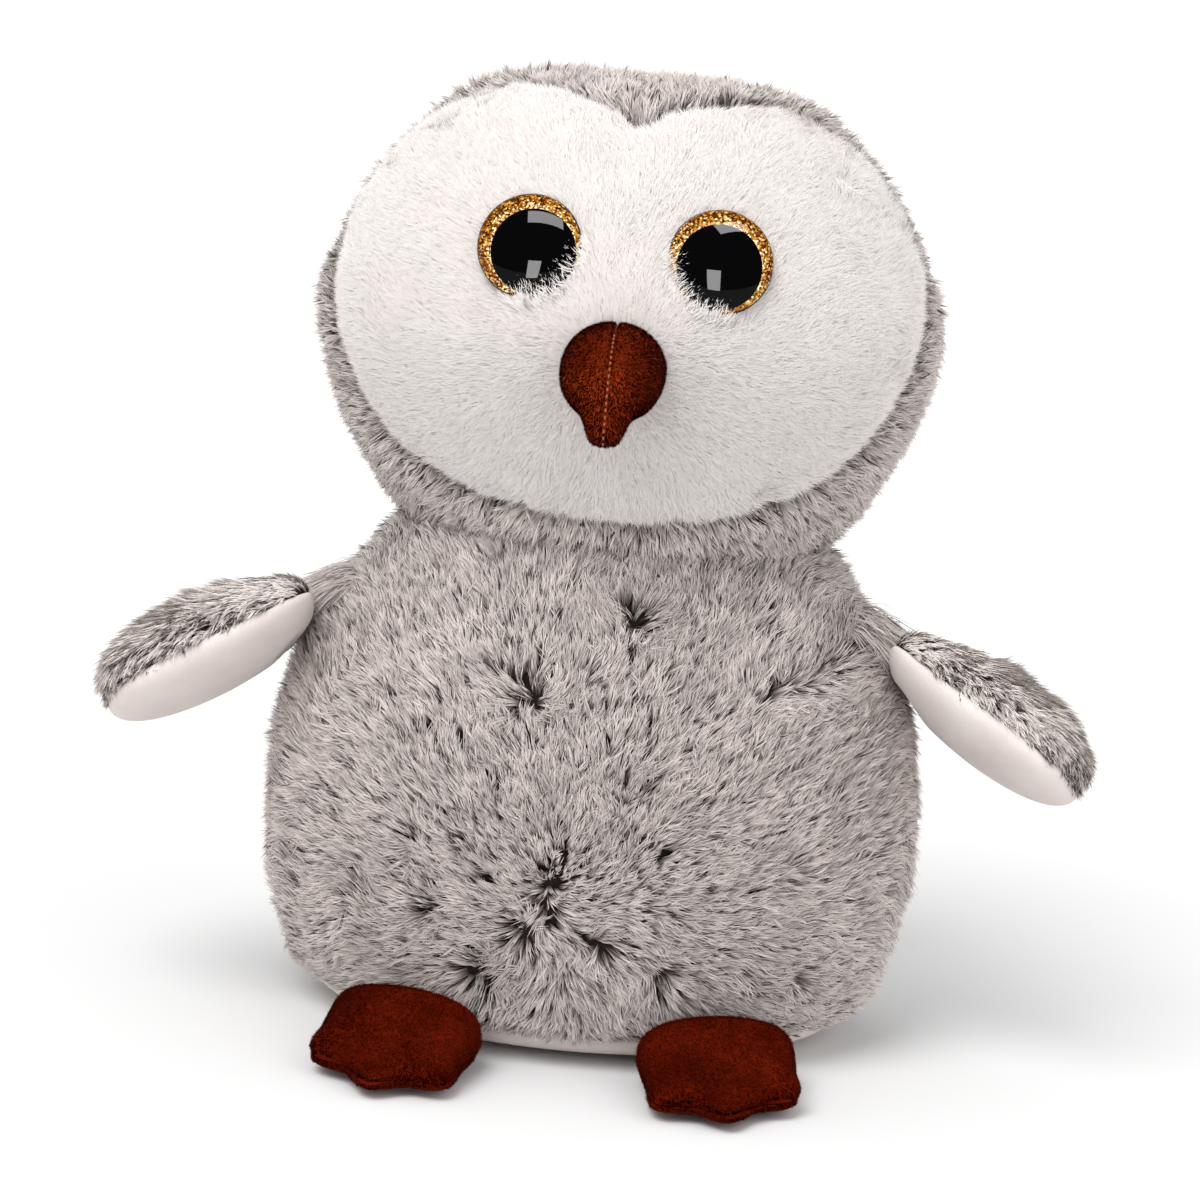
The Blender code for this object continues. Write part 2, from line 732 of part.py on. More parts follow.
def foot_place(side):
    """The foot's own axes, its joint level and flush with the body, and how its toes lean from them."""
    start = Vector((side * BODY_HALF_WIDTH * FOOT_SPREAD_SHARE, -BODY_FRONT - OVERRUN, FOOT_ROOT_RADIUS))
    surface, normal = body_spot(start, Vector((0, 1, 0)))
    outward = Vector((normal.x, normal.y, 0)).normalized()
    up = Vector((0, 0, 1))
    across = up.cross(outward)
    turn = Matrix((across, -outward, up)).transposed().to_4x4()
    seat = hinge_seat(surface, outward, across, FOOT_HALF_WIDTH, FOOT_ROOT_RADIUS)
    lean = math.atan2(outward.x, -outward.y) - side * FOOT_SPLAY
    return Matrix.Translation(seat) @ turn, lean


def make_foot(side_name, side):
    matrix, lean = foot_place(side)
    pivot = add_pivot(f"foot_{side_name}_pivot", matrix)
    far = FOOT_LENGTH + OVERRUN
    seam = FOOT_SEAM_HEIGHT - FOOT_ROOT_RADIUS
    inner_mesh = mesh_from("foot_inner", placed(foot_form(NAP, lean), matrix))
    inner = add_cutter(f"foot_{side_name}_inner", inner_mesh)
    halves = (("top", seam + GAP / 2, far), ("sole", -far, seam - GAP / 2))
    for kind, low, high in halves:
        name = f"foot_{side_name}_{kind}"
        panel = add_piece(name, mesh_from(name, placed(foot_form(0, lean), matrix)), RUST_FELT, pivot)
        region = box_mesh(name, (-far, -far, low), (far, far, high))
        region.transform(matrix)
        boolean(panel, inner, "DIFFERENCE")
        boolean(panel, add_cutter(name + "_region", region), "INTERSECT")
    name = f"foot_{side_name}_stuffing"
    filling = placed(foot_form(NAP + FILLING_GAP, lean), matrix)
    add_piece(name, mesh_from(name, filling), POLYESTER, pivot)


make_body()
HEAD_PIVOT = add_pivot("head_pivot", Matrix.Translation((0, 0, NECK_HEIGHT)))
FACE, HEAD_FILLING = make_head(HEAD_PIVOT)
for SIDE_NAME, SIDE in (("left", 1), ("right", -1)):
    make_eye(SIDE_NAME, SIDE, FACE, HEAD_FILLING, HEAD_PIVOT)
make_beak(HEAD_PIVOT)
for SIDE_NAME, SIDE in (("left", 1), ("right", -1)):
    make_wing(SIDE_NAME, SIDE)
    make_foot(SIDE_NAME, SIDE)

for PIVOT in PARTS.objects:
    if PIVOT.type == "EMPTY":
        print(PIVOT.name, [round(value, 5) for value in PIVOT.matrix_world.translation])
        print("   axis", [round(value, 5) for value in PIVOT.matrix_world.col[0].to_3d()])
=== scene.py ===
# %% [markdown]
# A plush owl, dressed
#
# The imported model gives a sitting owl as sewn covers, fillings and plastic eye pieces, each in
# its true place. This lesson dresses it: long grey pile on the body, head and wings, short dense
# white pile on the face, velvety panels under the wings and under the base, rust-brown feet, a
# stitched beak and glossy glitter eyes. Everything is made in metres, in the frame's own axes:
# the owl faces -Y, +Z is up, and its own left side is +X.

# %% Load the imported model
import json
import math

import bmesh
import bpy
import numpy as np
from mathutils import Matrix, Vector
from mathutils.bvhtree import BVHTree


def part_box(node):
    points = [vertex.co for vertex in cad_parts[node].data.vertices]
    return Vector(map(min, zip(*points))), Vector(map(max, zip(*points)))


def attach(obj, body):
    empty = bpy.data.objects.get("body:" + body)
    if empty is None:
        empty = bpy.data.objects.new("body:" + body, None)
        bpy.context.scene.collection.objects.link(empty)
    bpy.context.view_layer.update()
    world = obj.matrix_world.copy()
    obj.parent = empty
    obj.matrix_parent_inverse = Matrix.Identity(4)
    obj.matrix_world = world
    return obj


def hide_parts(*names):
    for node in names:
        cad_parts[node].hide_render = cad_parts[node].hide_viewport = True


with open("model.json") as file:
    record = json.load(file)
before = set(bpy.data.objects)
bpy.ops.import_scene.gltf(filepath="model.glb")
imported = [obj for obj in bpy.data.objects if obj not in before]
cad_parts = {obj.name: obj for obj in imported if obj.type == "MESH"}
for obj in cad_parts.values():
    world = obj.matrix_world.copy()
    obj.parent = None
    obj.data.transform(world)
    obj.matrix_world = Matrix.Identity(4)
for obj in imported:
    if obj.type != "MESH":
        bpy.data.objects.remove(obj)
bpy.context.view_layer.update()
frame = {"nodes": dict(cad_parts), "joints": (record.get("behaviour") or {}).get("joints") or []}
JOINTS = {joint["name"]: joint for joint in frame["joints"]}
SIDES = (("left", 1), ("right", -1))

# %% [markdown]
# The camera stands where the photographer's did: a little to the owl's left of straight ahead,
# ten degrees above the table, far off behind a long lens, so that nothing is drawn out of
# proportion. The camera was also rolled by a few degrees, which makes the owl lean.

# %% Camera
CAMERA_AZIMUTH = math.radians(2.9)
CAMERA_ELEVATION = math.radians(11)
CAMERA_ROLL = math.radians(4.6)
CAMERA_DISTANCE = 2.2
VIEW_WIDTH = 0.501
VIEW_TARGET = Vector((-0.0034, 0, 0.1768))

camera = bpy.data.objects.new("camera", bpy.data.cameras.new("camera"))
bpy.context.scene.collection.objects.link(camera)
bpy.context.scene.camera = camera
away = Vector(
    (
        math.sin(CAMERA_AZIMUTH) * math.cos(CAMERA_ELEVATION),
        -math.cos(CAMERA_AZIMUTH) * math.cos(CAMERA_ELEVATION),
        math.sin(CAMERA_ELEVATION),
    )
)
camera.location = VIEW_TARGET + away * CAMERA_DISTANCE
turn = (-away).to_track_quat("-Z", "Y").to_matrix() @ Matrix.Rotation(CAMERA_ROLL, 3, "Z")
camera.rotation_euler = turn.to_euler()
camera.data.lens = camera.data.sensor_width * CAMERA_DISTANCE / VIEW_WIDTH
camera.data.clip_end = 100
print("lens", round(camera.data.lens), "mm at", CAMERA_DISTANCE, "m")

# %% [markdown]
# The studio is as plain as can be: a pale floor, an even white surround, a broad soft sun from
# the upper left and a weak one from the right. Together they light a surface that faces the
# camera so that its colour comes out about as it is written.

# %% Floor and lamps
FLOOR_HALF = 40.0
SURROUND = 0.86
MIRRORED = 0.12
KEY_SUN = 1.8
FILL_SUN = 0.5

scene = bpy.context.scene
scene.view_settings.view_transform = "Standard"
bm = bmesh.new()
bmesh.ops.create_grid(bm, x_segments=1, y_segments=1, size=FLOOR_HALF)
floor_mesh = bpy.data.meshes.new("floor")
bm.to_mesh(floor_mesh)
bm.free()
floor = bpy.data.objects.new("floor", floor_mesh)
scene.collection.objects.link(floor)

world = bpy.data.worlds.new("surround")
scene.world = world
world.use_nodes = True
sky = world.node_tree
plain = sky.nodes["Background"]
plain.inputs["Strength"].default_value = SURROUND
seen = sky.nodes.new("ShaderNodeBackground")
seen.inputs["Color"].default_value = (1, 1, 1, 1)
dim = sky.nodes.new("ShaderNodeBackground")
dim.inputs["Strength"].default_value = MIRRORED
for background in (plain, seen, dim):
    background.inputs["Color"].default_value = (1, 1, 1, 1)
ray = sky.nodes.new("ShaderNodeLightPath")
first = sky.nodes.new("ShaderNodeMixShader")
second = sky.nodes.new("ShaderNodeMixShader")
sky.links.new(ray.outputs["Is Glossy Ray"], first.inputs[0])
sky.links.new(plain.outputs[0], first.inputs[1])
sky.links.new(dim.outputs[0], first.inputs[2])
sky.links.new(ray.outputs["Is Camera Ray"], second.inputs[0])
sky.links.new(first.outputs[0], second.inputs[1])
sky.links.new(seen.outputs[0], second.inputs[2])
sky.links.new(second.outputs[0], sky.nodes["World Output"].inputs["Surface"])


def add_sun(name, place, strength, softness):
    """A distant lamp that shines from a place towards the owl."""
    lamp = bpy.data.objects.new(name, bpy.data.lights.new(name, "SUN"))
    lamp.data.energy = strength
    lamp.data.angle = math.radians(softness)
    lamp.rotation_euler = Vector(place).to_track_quat("Z", "Y").to_euler()
    lamp.visible_glossy = False
    scene.collection.objects.link(lamp)


add_sun("key", (-0.50, -0.85, 1.3), KEY_SUN, 35)
add_sun("fill", (1.0, -0.9, 0.45), FILL_SUN, 60)


# %% [markdown]
# A material's pattern is arithmetic on a few fields: noise, a place on the surface, a place
# along a fibre. Wiring that by hand hides the sums, so one small class wraps a node's output
# and lets Python's own operators add the Math nodes.

# %% Sums of sockets
class Value:
    """A node's output, which adds, multiplies and compares as a number does."""

    def __init__(self, look, socket):
        self.look = look
        self.socket = socket

    def _math(self, operation, first, second=None):
        sockets = {0: first} if second is None else {0: first, 1: second}
        return self.look.node("ShaderNodeMath", {"operation": operation}, sockets)

    def __add__(self, other):
        return self._math("ADD", self, other)

    def __sub__(self, other):
        return self._math("SUBTRACT", self, other)

    def __rsub__(self, other):
        return self._math("SUBTRACT", other, self)

    def __mul__(self, other):
        return self._math("MULTIPLY", self, other)

    def __truediv__(self, other):
        return self._math("DIVIDE", self, other)

    def __pow__(self, other):
        return self._math("POWER", self, other)

    def __gt__(self, other):
        return self._math("GREATER_THAN", self, other)

    def __lt__(self, other):
        return self._math("LESS_THAN", self, other)

    __radd__ = __add__
    __rmul__ = __mul__


class Look:
    """A material being built, on one Principled shader."""

    def __init__(self, name, **fixed):
        self.material = bpy.data.materials.new(name)
        self.material.use_nodes = True
        self.tree = self.material.node_tree
        self.shader = self.tree.nodes["Principled BSDF"]
        for socket, value in fixed.items():
            self.put(self.shader.inputs[socket.replace("_", " ")], value)

    def put(self, socket, value):
        """Links a value to a socket, or writes a number or colour on it."""
        if isinstance(value, Value):
            self.tree.links.new(value.socket, socket)
        elif isinstance(value, tuple) and len(value) == 3 and socket.type == "RGBA":
            socket.default_value = (*value, 1)
        else:
            socket.default_value = value

    def node(self, kind, settings, sockets, output=0):
        """Adds any node: its type, its settings and ramp stops, then its sockets."""
        made = self.tree.nodes.new(kind)
        for name, value in settings.items():
            if name == "stops":
                ramp = made.color_ramp.elements
                while len(ramp) < len(value):
                    ramp.new(0.5)
                for element, (place, colour) in zip(ramp, value):
                    element.position = place
                    element.color = (*colour, 1)
            else:
                setattr(made, name, value)
        for name, value in sockets.items():
            self.put(made.inputs[name], value)
        return Value(self, made.outputs[output])

    def noise(self, scale, detail=2.0, where=None):
        """Smooth noise from 0 to 1 on the object's own coordinates, scale in lumps per metre."""
        sockets = {"Scale": scale, "Detail": detail}
        sockets["Vector"] = where or self.node("ShaderNodeTexCoord", {}, {}, "Object")
        return self.node("ShaderNodeTexNoise", {}, sockets, "Fac")

    def ramp(self, factor, stops):
        return self.node("ShaderNodeValToRGB", {"stops": stops}, {"Fac": factor}, "Color")

    def mix(self, factor, first, second, way="MIX"):
        settings = {"data_type": "RGBA", "blend_type": way}
        return self.node("ShaderNodeMix", settings, {0: factor, 6: first, 7: second}, 2)

    def map_axes(self, name):
        """The two axes of one of the piece's UV maps."""
        uv = self.node("ShaderNodeUVMap", {"uv_map": name}, {})
        apart = self.tree.nodes.new("ShaderNodeSeparateXYZ")
        self.put(apart.inputs[0], uv)
        return Value(self, apart.outputs[0]), Value(self, apart.outputs[1])

    def bump(self, height, strength, distance):
        sockets = {"Height": height, "Strength": strength, "Distance": distance}
        self.put(self.shader.inputs["Normal"], self.node("ShaderNodeBump", {}, sockets))

    def colour(self, value):
        self.put(self.shader.inputs["Base Color"], value)


def srgb(red, green, blue):
    """A colour as a photograph's 0 to 255 numbers, in the linear form that shaders use."""
    shares = (channel / 255 for channel in (red, green, blue))
    return tuple(s / 12.92 if s <= 0.04045 else ((s + 0.055) / 1.055) ** 2.4 for s in shares)


# %% [markdown]
# Plush is a knitted backing with a pile of fibres. The grey pile is dyed: dark at the root,
# pale at the tip, and some tufts stay dark for most of their length. Each fibre carries a map
# of its own, whose first axis is the fibre's tone and whose second runs from root to tip, so
# one ramp along that map colours every fibre.

# %% Fibre finishes
PILE_MAP = "OFBake"


def pile_look(name, root, middle, tip, dark, roughness=0.9):
    """A finish for fibres: root to tip along the map, darker where the tone is low."""
    look = Look(name, Roughness=roughness, Specular_IOR_Level=0.02)
    tone, along = look.map_axes(PILE_MAP)
    pale = look.ramp(along, [(0.0, root), (0.42, middle), (0.70, tip)])
    deep = look.ramp(along, [(0.0, root), (0.75, dark), (1.0, middle)])
    look.colour(look.mix(tone, deep, pale))
    return look.material


grey_pile = pile_look(
    "grey_pile", srgb(50, 38, 34), srgb(188, 177, 171), srgb(230, 220, 215), srgb(26, 17, 15)
)
white_pile = pile_look(
    "white_pile", srgb(234, 228, 224), srgb(241, 236, 232), srgb(246, 241, 238), srgb(228, 221, 217)
)

rust_nap = pile_look(
    "rust_nap", srgb(58, 8, 1), srgb(124, 32, 8), srgb(150, 48, 14), srgb(56, 6, 0)
)
beak_nap = pile_look(
    "beak_nap", srgb(104, 28, 6), srgb(160, 58, 22), srgb(184, 76, 32), srgb(100, 26, 6)
)
# The wings' pile is a paler copy of the grey pile, painted light for the wings' tops, which face the key lamp from
# above.
wing_pile_painted_light = pile_look(
    "wing_pile_painted_light", srgb(112, 98, 92), srgb(214, 204, 199), srgb(242, 234, 229), srgb(30, 18, 15)
)
# A paler copy of the grey pile, with pale roots, is painted light: it lightens the backs of the body and head, which
# face away from the lamps, and the shoulders, whose fibres fall dark.
paler_pile_painted_light = pile_look(
    "paler_pile_painted_light", srgb(150, 139, 133), srgb(206, 196, 191), srgb(232, 223, 218), srgb(60, 46, 42)
)

# %% [markdown]
# Under the fibres lies the knitted backing, and a few panels have hardly any pile at all: the
# wings' undersides and the base are a smooth velvety cloth, the feet and the beak a short nap
# that darkens where it is brushed the other way. That darkening is painted shade, in broad patches.

# %% Cloth finishes


def backing_look(name, colour):
    look = Look(name, Roughness=0.95)
    knit = look.noise(900, 1.0)
    look.colour(look.mix(knit * 0.5, colour, tuple(c * 0.6 for c in colour)))
    look.bump(knit, 0.4, 0.0004)
    return look.material


def nap_look(name, colour, shade, grain, sheen):
    """Short brushed nap: broad patches of painted shade, fine grain, and a soft sheen."""
    look = Look(name, Roughness=0.92, Sheen_Weight=sheen, Specular_IOR_Level=0.02)
    look.put(look.shader.inputs["Sheen Tint"], (*colour, 1))
    patches = look.noise(38, 3.0)
    fine = look.noise(1500, 2.0)
    # Painted shade: the nap runs from its colour to its shade colour in broad patches, as brushed nap looks darker.
    painted_shade_share = look.node("ShaderNodeMapRange", {}, {0: patches, 1: 0.35, 2: 0.65})
    brushed = look.mix(painted_shade_share * 0.75, colour, shade)
    speckle = look.node("ShaderNodeMapRange", {}, {0: fine, 1: 0.3, 2: 0.7})
    look.colour(look.mix(speckle * grain, brushed, shade))
    look.bump(fine * 0.6 + patches * 0.4, 0.55, 0.0006)
    return look.material


def banded_fill_look(name, colour, band_colour, height):
    """Filling, darker in a band about a seam's height."""
    look = Look(name, Roughness=0.95)
    place = look.node("ShaderNodeTexCoord", {}, {}, "Object")
    apart = look.tree.nodes.new("ShaderNodeSeparateXYZ")
    look.put(apart.inputs[0], place)
    above = (Value(look, apart.outputs[2]) > height - 0.008) * (Value(look, apart.outputs[2]) < height + 0.008)
    look.colour(look.mix(above, colour, band_colour))
    return look.material


grey_backing = backing_look("grey_backing", srgb(38, 28, 25))
white_backing = backing_look("white_backing", srgb(240, 234, 230))
pale_velvet = nap_look("pale_velvet", srgb(230, 221, 216), srgb(216, 205, 200), 0.2, 0.1)
rust_velvet = nap_look("rust_velvet", srgb(112, 28, 6), srgb(58, 8, 1), 0.5, 0.0)
beak_velvet = nap_look("beak_velvet", srgb(146, 52, 18), srgb(84, 20, 4), 0.5, 0.0)
fibre_fill = backing_look("fibre_fill", srgb(240, 240, 238))
pellet_cotton = backing_look("pellet_cotton", srgb(206, 200, 186))


# %% [markdown]
# A stuffed form starts as a coarse cage: a ball whose rings, low to high, are set to a share of
# the form's half width, so that it swells and tapers like the sewn one. Subdivision rounds it,
# and each side is then stretched to its true reach, because subdivision draws a cage in.

# %% Stuffed forms
SMOOTH_LEVELS = 3


def link(name, mesh, *materials):
    piece = bpy.data.objects.new(name, mesh)
    scene.collection.objects.link(piece)
    for material in materials:
        mesh.materials.append(material)
    return piece


def applied(piece):
    """The piece's mesh with its modifiers applied; the piece itself is removed."""
    graph = bpy.context.evaluated_depsgraph_get()
    made = bpy.data.meshes.new_from_object(piece.evaluated_get(graph))
    bpy.data.objects.remove(piece, do_unlink=True)
    return made


def smoothed(bm, levels):
    """The rounded form of a coarse cage, as a new bmesh."""
    mesh = bpy.data.meshes.new("cage")
    bm.to_mesh(mesh)
    bm.free()
    cage = link("cage", mesh)
    rounding = cage.modifiers.new("rounding", "SUBSURF")
    rounding.levels = levels
    rounding.render_levels = levels
    made = applied(cage)
    finer = bmesh.new()
    finer.from_mesh(made)
    bpy.data.meshes.remove(made)
    return finer


def stretch(bm, low, high):
    """Stretches a form to its true reach, each side of zero by itself but for the height."""
    for axis in (0, 1, 2):
        least = min(v.co[axis] for v in bm.verts)
        most = max(v.co[axis] for v in bm.verts)
        for v in bm.verts:
            if axis == 2:
                share = (v.co.z - least) / (most - least)
                v.co.z = low[2] + share * (high[2] - low[2])
            elif v.co[axis] > 0:
                v.co[axis] *= high[axis] / most
            else:
                v.co[axis] *= low[axis] / least


def ring_form(ring_shares, segments, low, high, levels=SMOOTH_LEVELS, outline=None):
    """A closed form whose rings, low to high, are (height, depth, width) shares of its reach."""
    bm = bmesh.new()
    rings = len(ring_shares) + 1
    bmesh.ops.create_uvsphere(bm, u_segments=segments, v_segments=rings, radius=1)
    for v in bm.verts:
        ring = round(math.acos(max(-1, min(1, -v.co.z))) / math.pi * rings)
        if ring in (0, rings):
            v.co = Vector((0, 0, ring / rings))
            continue
        shares = ring_shares[ring - 1]
        angle = math.atan2(v.co.y, v.co.x)
        bulge = outline(angle) if outline else 1
        v.co.x = math.cos(angle) * shares[-1] * bulge
        v.co.y = math.sin(angle) * shares[1] * bulge
        v.co.z = shares[0]
    bm = smoothed(bm, levels)
    stretch(bm, low, high)
    bm.normal_update()
    return bm


def sink(bm, depth_at):
    """Moves the surface inwards, by a depth that is worked out from each point's place."""
    places = np.array([v.co for v in bm.verts])
    outward = np.array([v.normal for v in bm.verts])
    moved = places - outward * depth_at(places, outward)[:, None]
    for v, place in zip(bm.verts, moved):
        v.co = place
    bm.normal_update()


# %% [markdown]
# A cover is sewn from panels. Each panel is the form cut along its seams and given the
# cloth's thickness inwards, so that neighbours meet edge to edge, and the filling is the same
# form a little smaller, closed at the neck.

# %% Panels and fillings
CLOTH = 0.0018
SEAM_GAP = 0.0003


def cut_away(bm, place, direction, close=False):
    """Cuts away what lies beyond a plane, and closes the hole if asked."""
    everything = bm.verts[:] + bm.edges[:] + bm.faces[:]
    bmesh.ops.bisect_plane(bm, geom=everything, plane_co=place, plane_no=direction, clear_outer=True)
    if close:
        bmesh.ops.edgeloop_fill(bm, edges=[edge for edge in bm.edges if edge.is_boundary])


def finished(name, bm, *materials, smooth=True):
    """A piece at the origin from a bmesh in the frame's own axes."""
    mesh = bpy.data.meshes.new(name)
    bm.to_mesh(mesh)
    bm.free()
    if smooth:
        mesh.shade_smooth()
    return link(name, mesh, *materials)


def panel(name, form, cuts, material, outline=None, keep=True, cloth=CLOTH):
    """One sewn panel: the form within its seams, with the cloth's thickness inwards."""
    bm = form.copy()
    for place, direction in cuts:
        cut_away(bm, place, direction)
    piece = finished(name, bm, material)
    wall = piece.modifiers.new("wall", "SOLIDIFY")
    wall.thickness = cloth
    wall.offset = -1
    if outline is not None:
        seam = piece.modifiers.new("seam", "BOOLEAN")
        seam.object = outline
        seam.operation = "INTERSECT" if keep else "DIFFERENCE"
        seam.solver = "EXACT"
    mesh = applied(piece)
    mesh.shade_smooth()
    return link(name, mesh)


def filling(name, form, cuts, fill, body, *nodes, pocket=None, material=fibre_fill):
    """The stuffing of a cover: the form inside the cloth, closed where it was cut."""
    bm = form.copy()
    sink(bm, lambda places, outward: np.full(len(places), CLOTH + SEAM_GAP * 2))
    for place, direction in cuts:
        cut_away(bm, place, direction, close=True)
    piece = finished(name, bm, material)
    if pocket is not None:
        hollow = piece.modifiers.new("pocket", "BOOLEAN")
        hollow.object = pocket
        hollow.operation = "DIFFERENCE"
        hollow.solver = "EXACT"
        mesh = applied(piece)
        piece = link(name, mesh)
    return dress(piece, body, "polyester_filling", *nodes)


def dress(piece, body, slot, *nodes):
    """Says what a piece rides on and hides the CAD nodes that it stands for; slot, which would name its finish, is
    not used.
    """
    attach(piece, body)
    if nodes:
        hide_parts(*nodes)
    return piece


# %% [markdown]
# Pile is grown in tufts, because fibres of plush cling together at their tips. Roots are spread
# evenly over a form. Each tuft leans the way the cloth was brushed, each fibre is a narrow
# bent ribbon of three triangles, and all of them are worked out at once as arrays, since a
# panel carries tens of thousands. The owl is looked at from the side more than from above, so
# the ribbons' flat sides are turned that way.

# %% Growing pile
FIBRE_WIDTH = 0.00052
TUFT_STRAY = 0.30
NORMAL_SHARE = 0.75
SEEN_FROM_ABOVE = 0.4
FLOOR_CLEARANCE = 0.0015


def surface_of(bm):
    """Corner places and outward directions of a form's triangles."""
    faces = bm.calc_loop_triangles()
    corners = np.array([[loop.vert.co for loop in face] for face in faces])
    outward = np.array([[loop.vert.normal for loop in face] for face in faces])
    return corners, outward


def scattered(surface, per_area, rng, keep):
    """Random roots on a surface, per_area to the square metre, where keep says so."""
    corners, outward = surface
    cross = np.cross(corners[:, 1] - corners[:, 0], corners[:, 2] - corners[:, 0])
    areas = np.linalg.norm(cross, axis=1) / 2
    count = int(areas.sum() * per_area)
    chosen = np.searchsorted(np.cumsum(areas) / areas.sum(), rng.random(count))
    chosen = np.minimum(chosen, len(areas) - 1)
    shares = rng.dirichlet((1, 1, 1), count)[:, :, None]
    places = (corners[chosen] * shares).sum(axis=1)
    normals = unit((outward[chosen] * shares).sum(axis=1))
    kept = keep(places, normals)
    return places[kept], normals[kept]


def unit(vectors):
    return vectors / np.maximum(np.linalg.norm(vectors, axis=1, keepdims=True), 1e-9)


def along_surface(directions, normals):
    """Directions with what stands out of the surface taken away."""
    return unit(directions - normals * (directions * normals).sum(axis=1, keepdims=True))


def ragged(places, reach):
    """A random offset for each place, which mixes two neighbours' fibres along their border."""
    return np.random.default_rng(len(places)).uniform(-reach, reach, len(places))


def drift(places, size, seed, channels=1):
    """Smooth random values from -1 to 1 that change over a length of size."""
    lattice = np.random.default_rng(seed).uniform(-1, 1, (32, 32, 32, channels))
    scaled = places / size + 512
    cell = np.floor(scaled).astype(int)
    share = scaled - cell
    share = share * share * (3 - 2 * share)
    total = np.zeros((len(places), channels))
    for corner in np.ndindex(2, 2, 2):
        weight = np.ones(len(places))
        for axis in range(3):
            weight *= share[:, axis] if corner[axis] else 1 - share[:, axis]
        x, y, z = ((cell + corner) % 32).T
        total += lattice[x, y, z] * weight[:, None]
    return total if channels > 1 else total[:, 0]


def fibres(
    name, material, places, normals, lay, length, lift, tone, rng, per_tuft, spread, width,
    normal_share=NORMAL_SHARE, gather=0.35, bent=True, outward=None,
):
    """A pile piece: tufts at places, each of per_tuft fibres that gather towards one tip.

    lay is the brushed direction, lift the share of the length by which the tip stands up. A few
    fibres of every tuft are dyed the other way, dark among pale ones or pale among dark ones.
    outward is the side that the ribbons show, where that isn't the cloth's own.
    """
    tufts = len(places)
    outward = normals if outward is None else outward
    lay = along_surface(lay + rng.normal(0, TUFT_STRAY, (tufts, 3)), normals)
    lift = np.clip(lift + rng.normal(0, 0.07, tufts), 0.15, 0.95)
    side = np.cross(normals, lay)
    count = tufts * per_tuft
    which = np.repeat(np.arange(tufts), per_tuft)
    turn = rng.uniform(0, 2 * np.pi, count)[:, None]
    reach = spread * np.sqrt(rng.random(count))[:, None]
    offset = (lay[which] * np.cos(turn) + side[which] * np.sin(turn)) * reach
    own = (length[which] * rng.uniform(0.72, 1.12, count))[:, None]
    rise = lift[which][:, None]
    root = places[which] + offset - normals[which] * width
    stand = normals[which] * rise + lay[which] * np.sqrt(np.maximum(0, 1 - rise**2))
    stray = rng.normal(0, 0.07, (count, 3)) * own
    tip = places[which] + offset * gather + stand * own + stray
    tip[:, 2] = np.maximum(tip[:, 2], FLOOR_CLEARANCE)
    middle = (root + tip) / 2 + normals[which] * own * 0.13 + offset * 0.15
    along = unit(tip - root)
    seen_from = unit(outward[which] * (1, 1, SEEN_FROM_ABOVE))
    flat = unit(np.cross(along, seen_from))
    twist = rng.normal(0, 0.4, count)[:, None]
    across = flat * np.cos(twist) + np.cross(flat, along) * np.sin(twist)
    half = width / 2 * rng.uniform(0.75, 1.25, count)[:, None]
    ends = (root - across * half * 0.9, root + across * half * 0.9)
    points = np.stack((*ends, middle - across * half, middle + across * half, tip), axis=1)
    if not bent:
        points = np.stack((*ends, tip), axis=1)
    odd = rng.random(count) < np.where(tone[which] < 0.4, 0.35, 0.07)
    shade = np.where(odd, 0.9 - tone[which], tone[which]) + rng.normal(0, 0.08, count)
    shade = np.clip(shade, 0.02, 0.98)
    facing = np.cross(across, along)
    facing *= np.sign((facing * seen_from).sum(axis=1, keepdims=True))
    facing = unit(facing * (1 - normal_share) + outward[which] * normal_share)
    return fibre_mesh(name, material, points, shade, facing)


def fibre_mesh(name, material, points, shade, facing):
    """Joins fibres of five points into one mesh, with tone and root-to-tip as its map.

    Each fibre is lit mostly as the cloth under it is, which keeps the pile soft.
    """
    count, corners_each = points.shape[:2]
    bent = corners_each == 5
    pattern = np.array([[0, 1, 3], [0, 3, 2], [2, 3, 4]] if bent else [[0, 1, 2]])
    corners = (np.arange(count)[:, None, None] * corners_each + pattern).ravel()
    mesh = bpy.data.meshes.new(name)
    mesh.vertices.add(count * corners_each)
    mesh.vertices.foreach_set("co", points.astype(np.float32).ravel())
    mesh.loops.add(len(corners))
    mesh.loops.foreach_set("vertex_index", corners.astype(np.int32))
    mesh.polygons.add(len(corners) // 3)
    mesh.polygons.foreach_set("loop_start", np.arange(0, len(corners), 3, dtype=np.int32))
    mesh.update(calc_edges=True)
    mesh.polygons.foreach_set("use_smooth", np.ones(len(corners) // 3, bool))
    own_map = np.empty((count, corners_each, 2))
    own_map[:, :, 0] = shade[:, None] + np.array([-1, 1, -1, 1, 0] if bent else [-1, 1, 0]) * 0.004
    own_map[:, :, 1] = np.array([0.004, 0.004, 0.5, 0.5, 0.996] if bent else [0.004, 0.004, 0.996])
    layer = mesh.uv_layers.new(name=PILE_MAP)
    layer.data.foreach_set("uv", own_map.reshape(-1, 2)[corners].astype(np.float32).ravel())
    mesh.normals_split_custom_set_from_vertices(np.repeat(facing, corners_each, axis=0))
    print(name, count, "fibres", len(mesh.polygons), "triangles")
    return link(name, mesh, material)


# %% [markdown]
# Velvet is pile as well, only about a millimetre long and brushed flat. One small triangle to
# a fibre is enough. Where the nap was brushed the other way the cloth looks darker, and that
# shade is painted: the tone drifts over the surface in broad patches.

# %% Growing nap
NAP_LENGTH = 0.0015
NAP_WIDTH = 0.00034


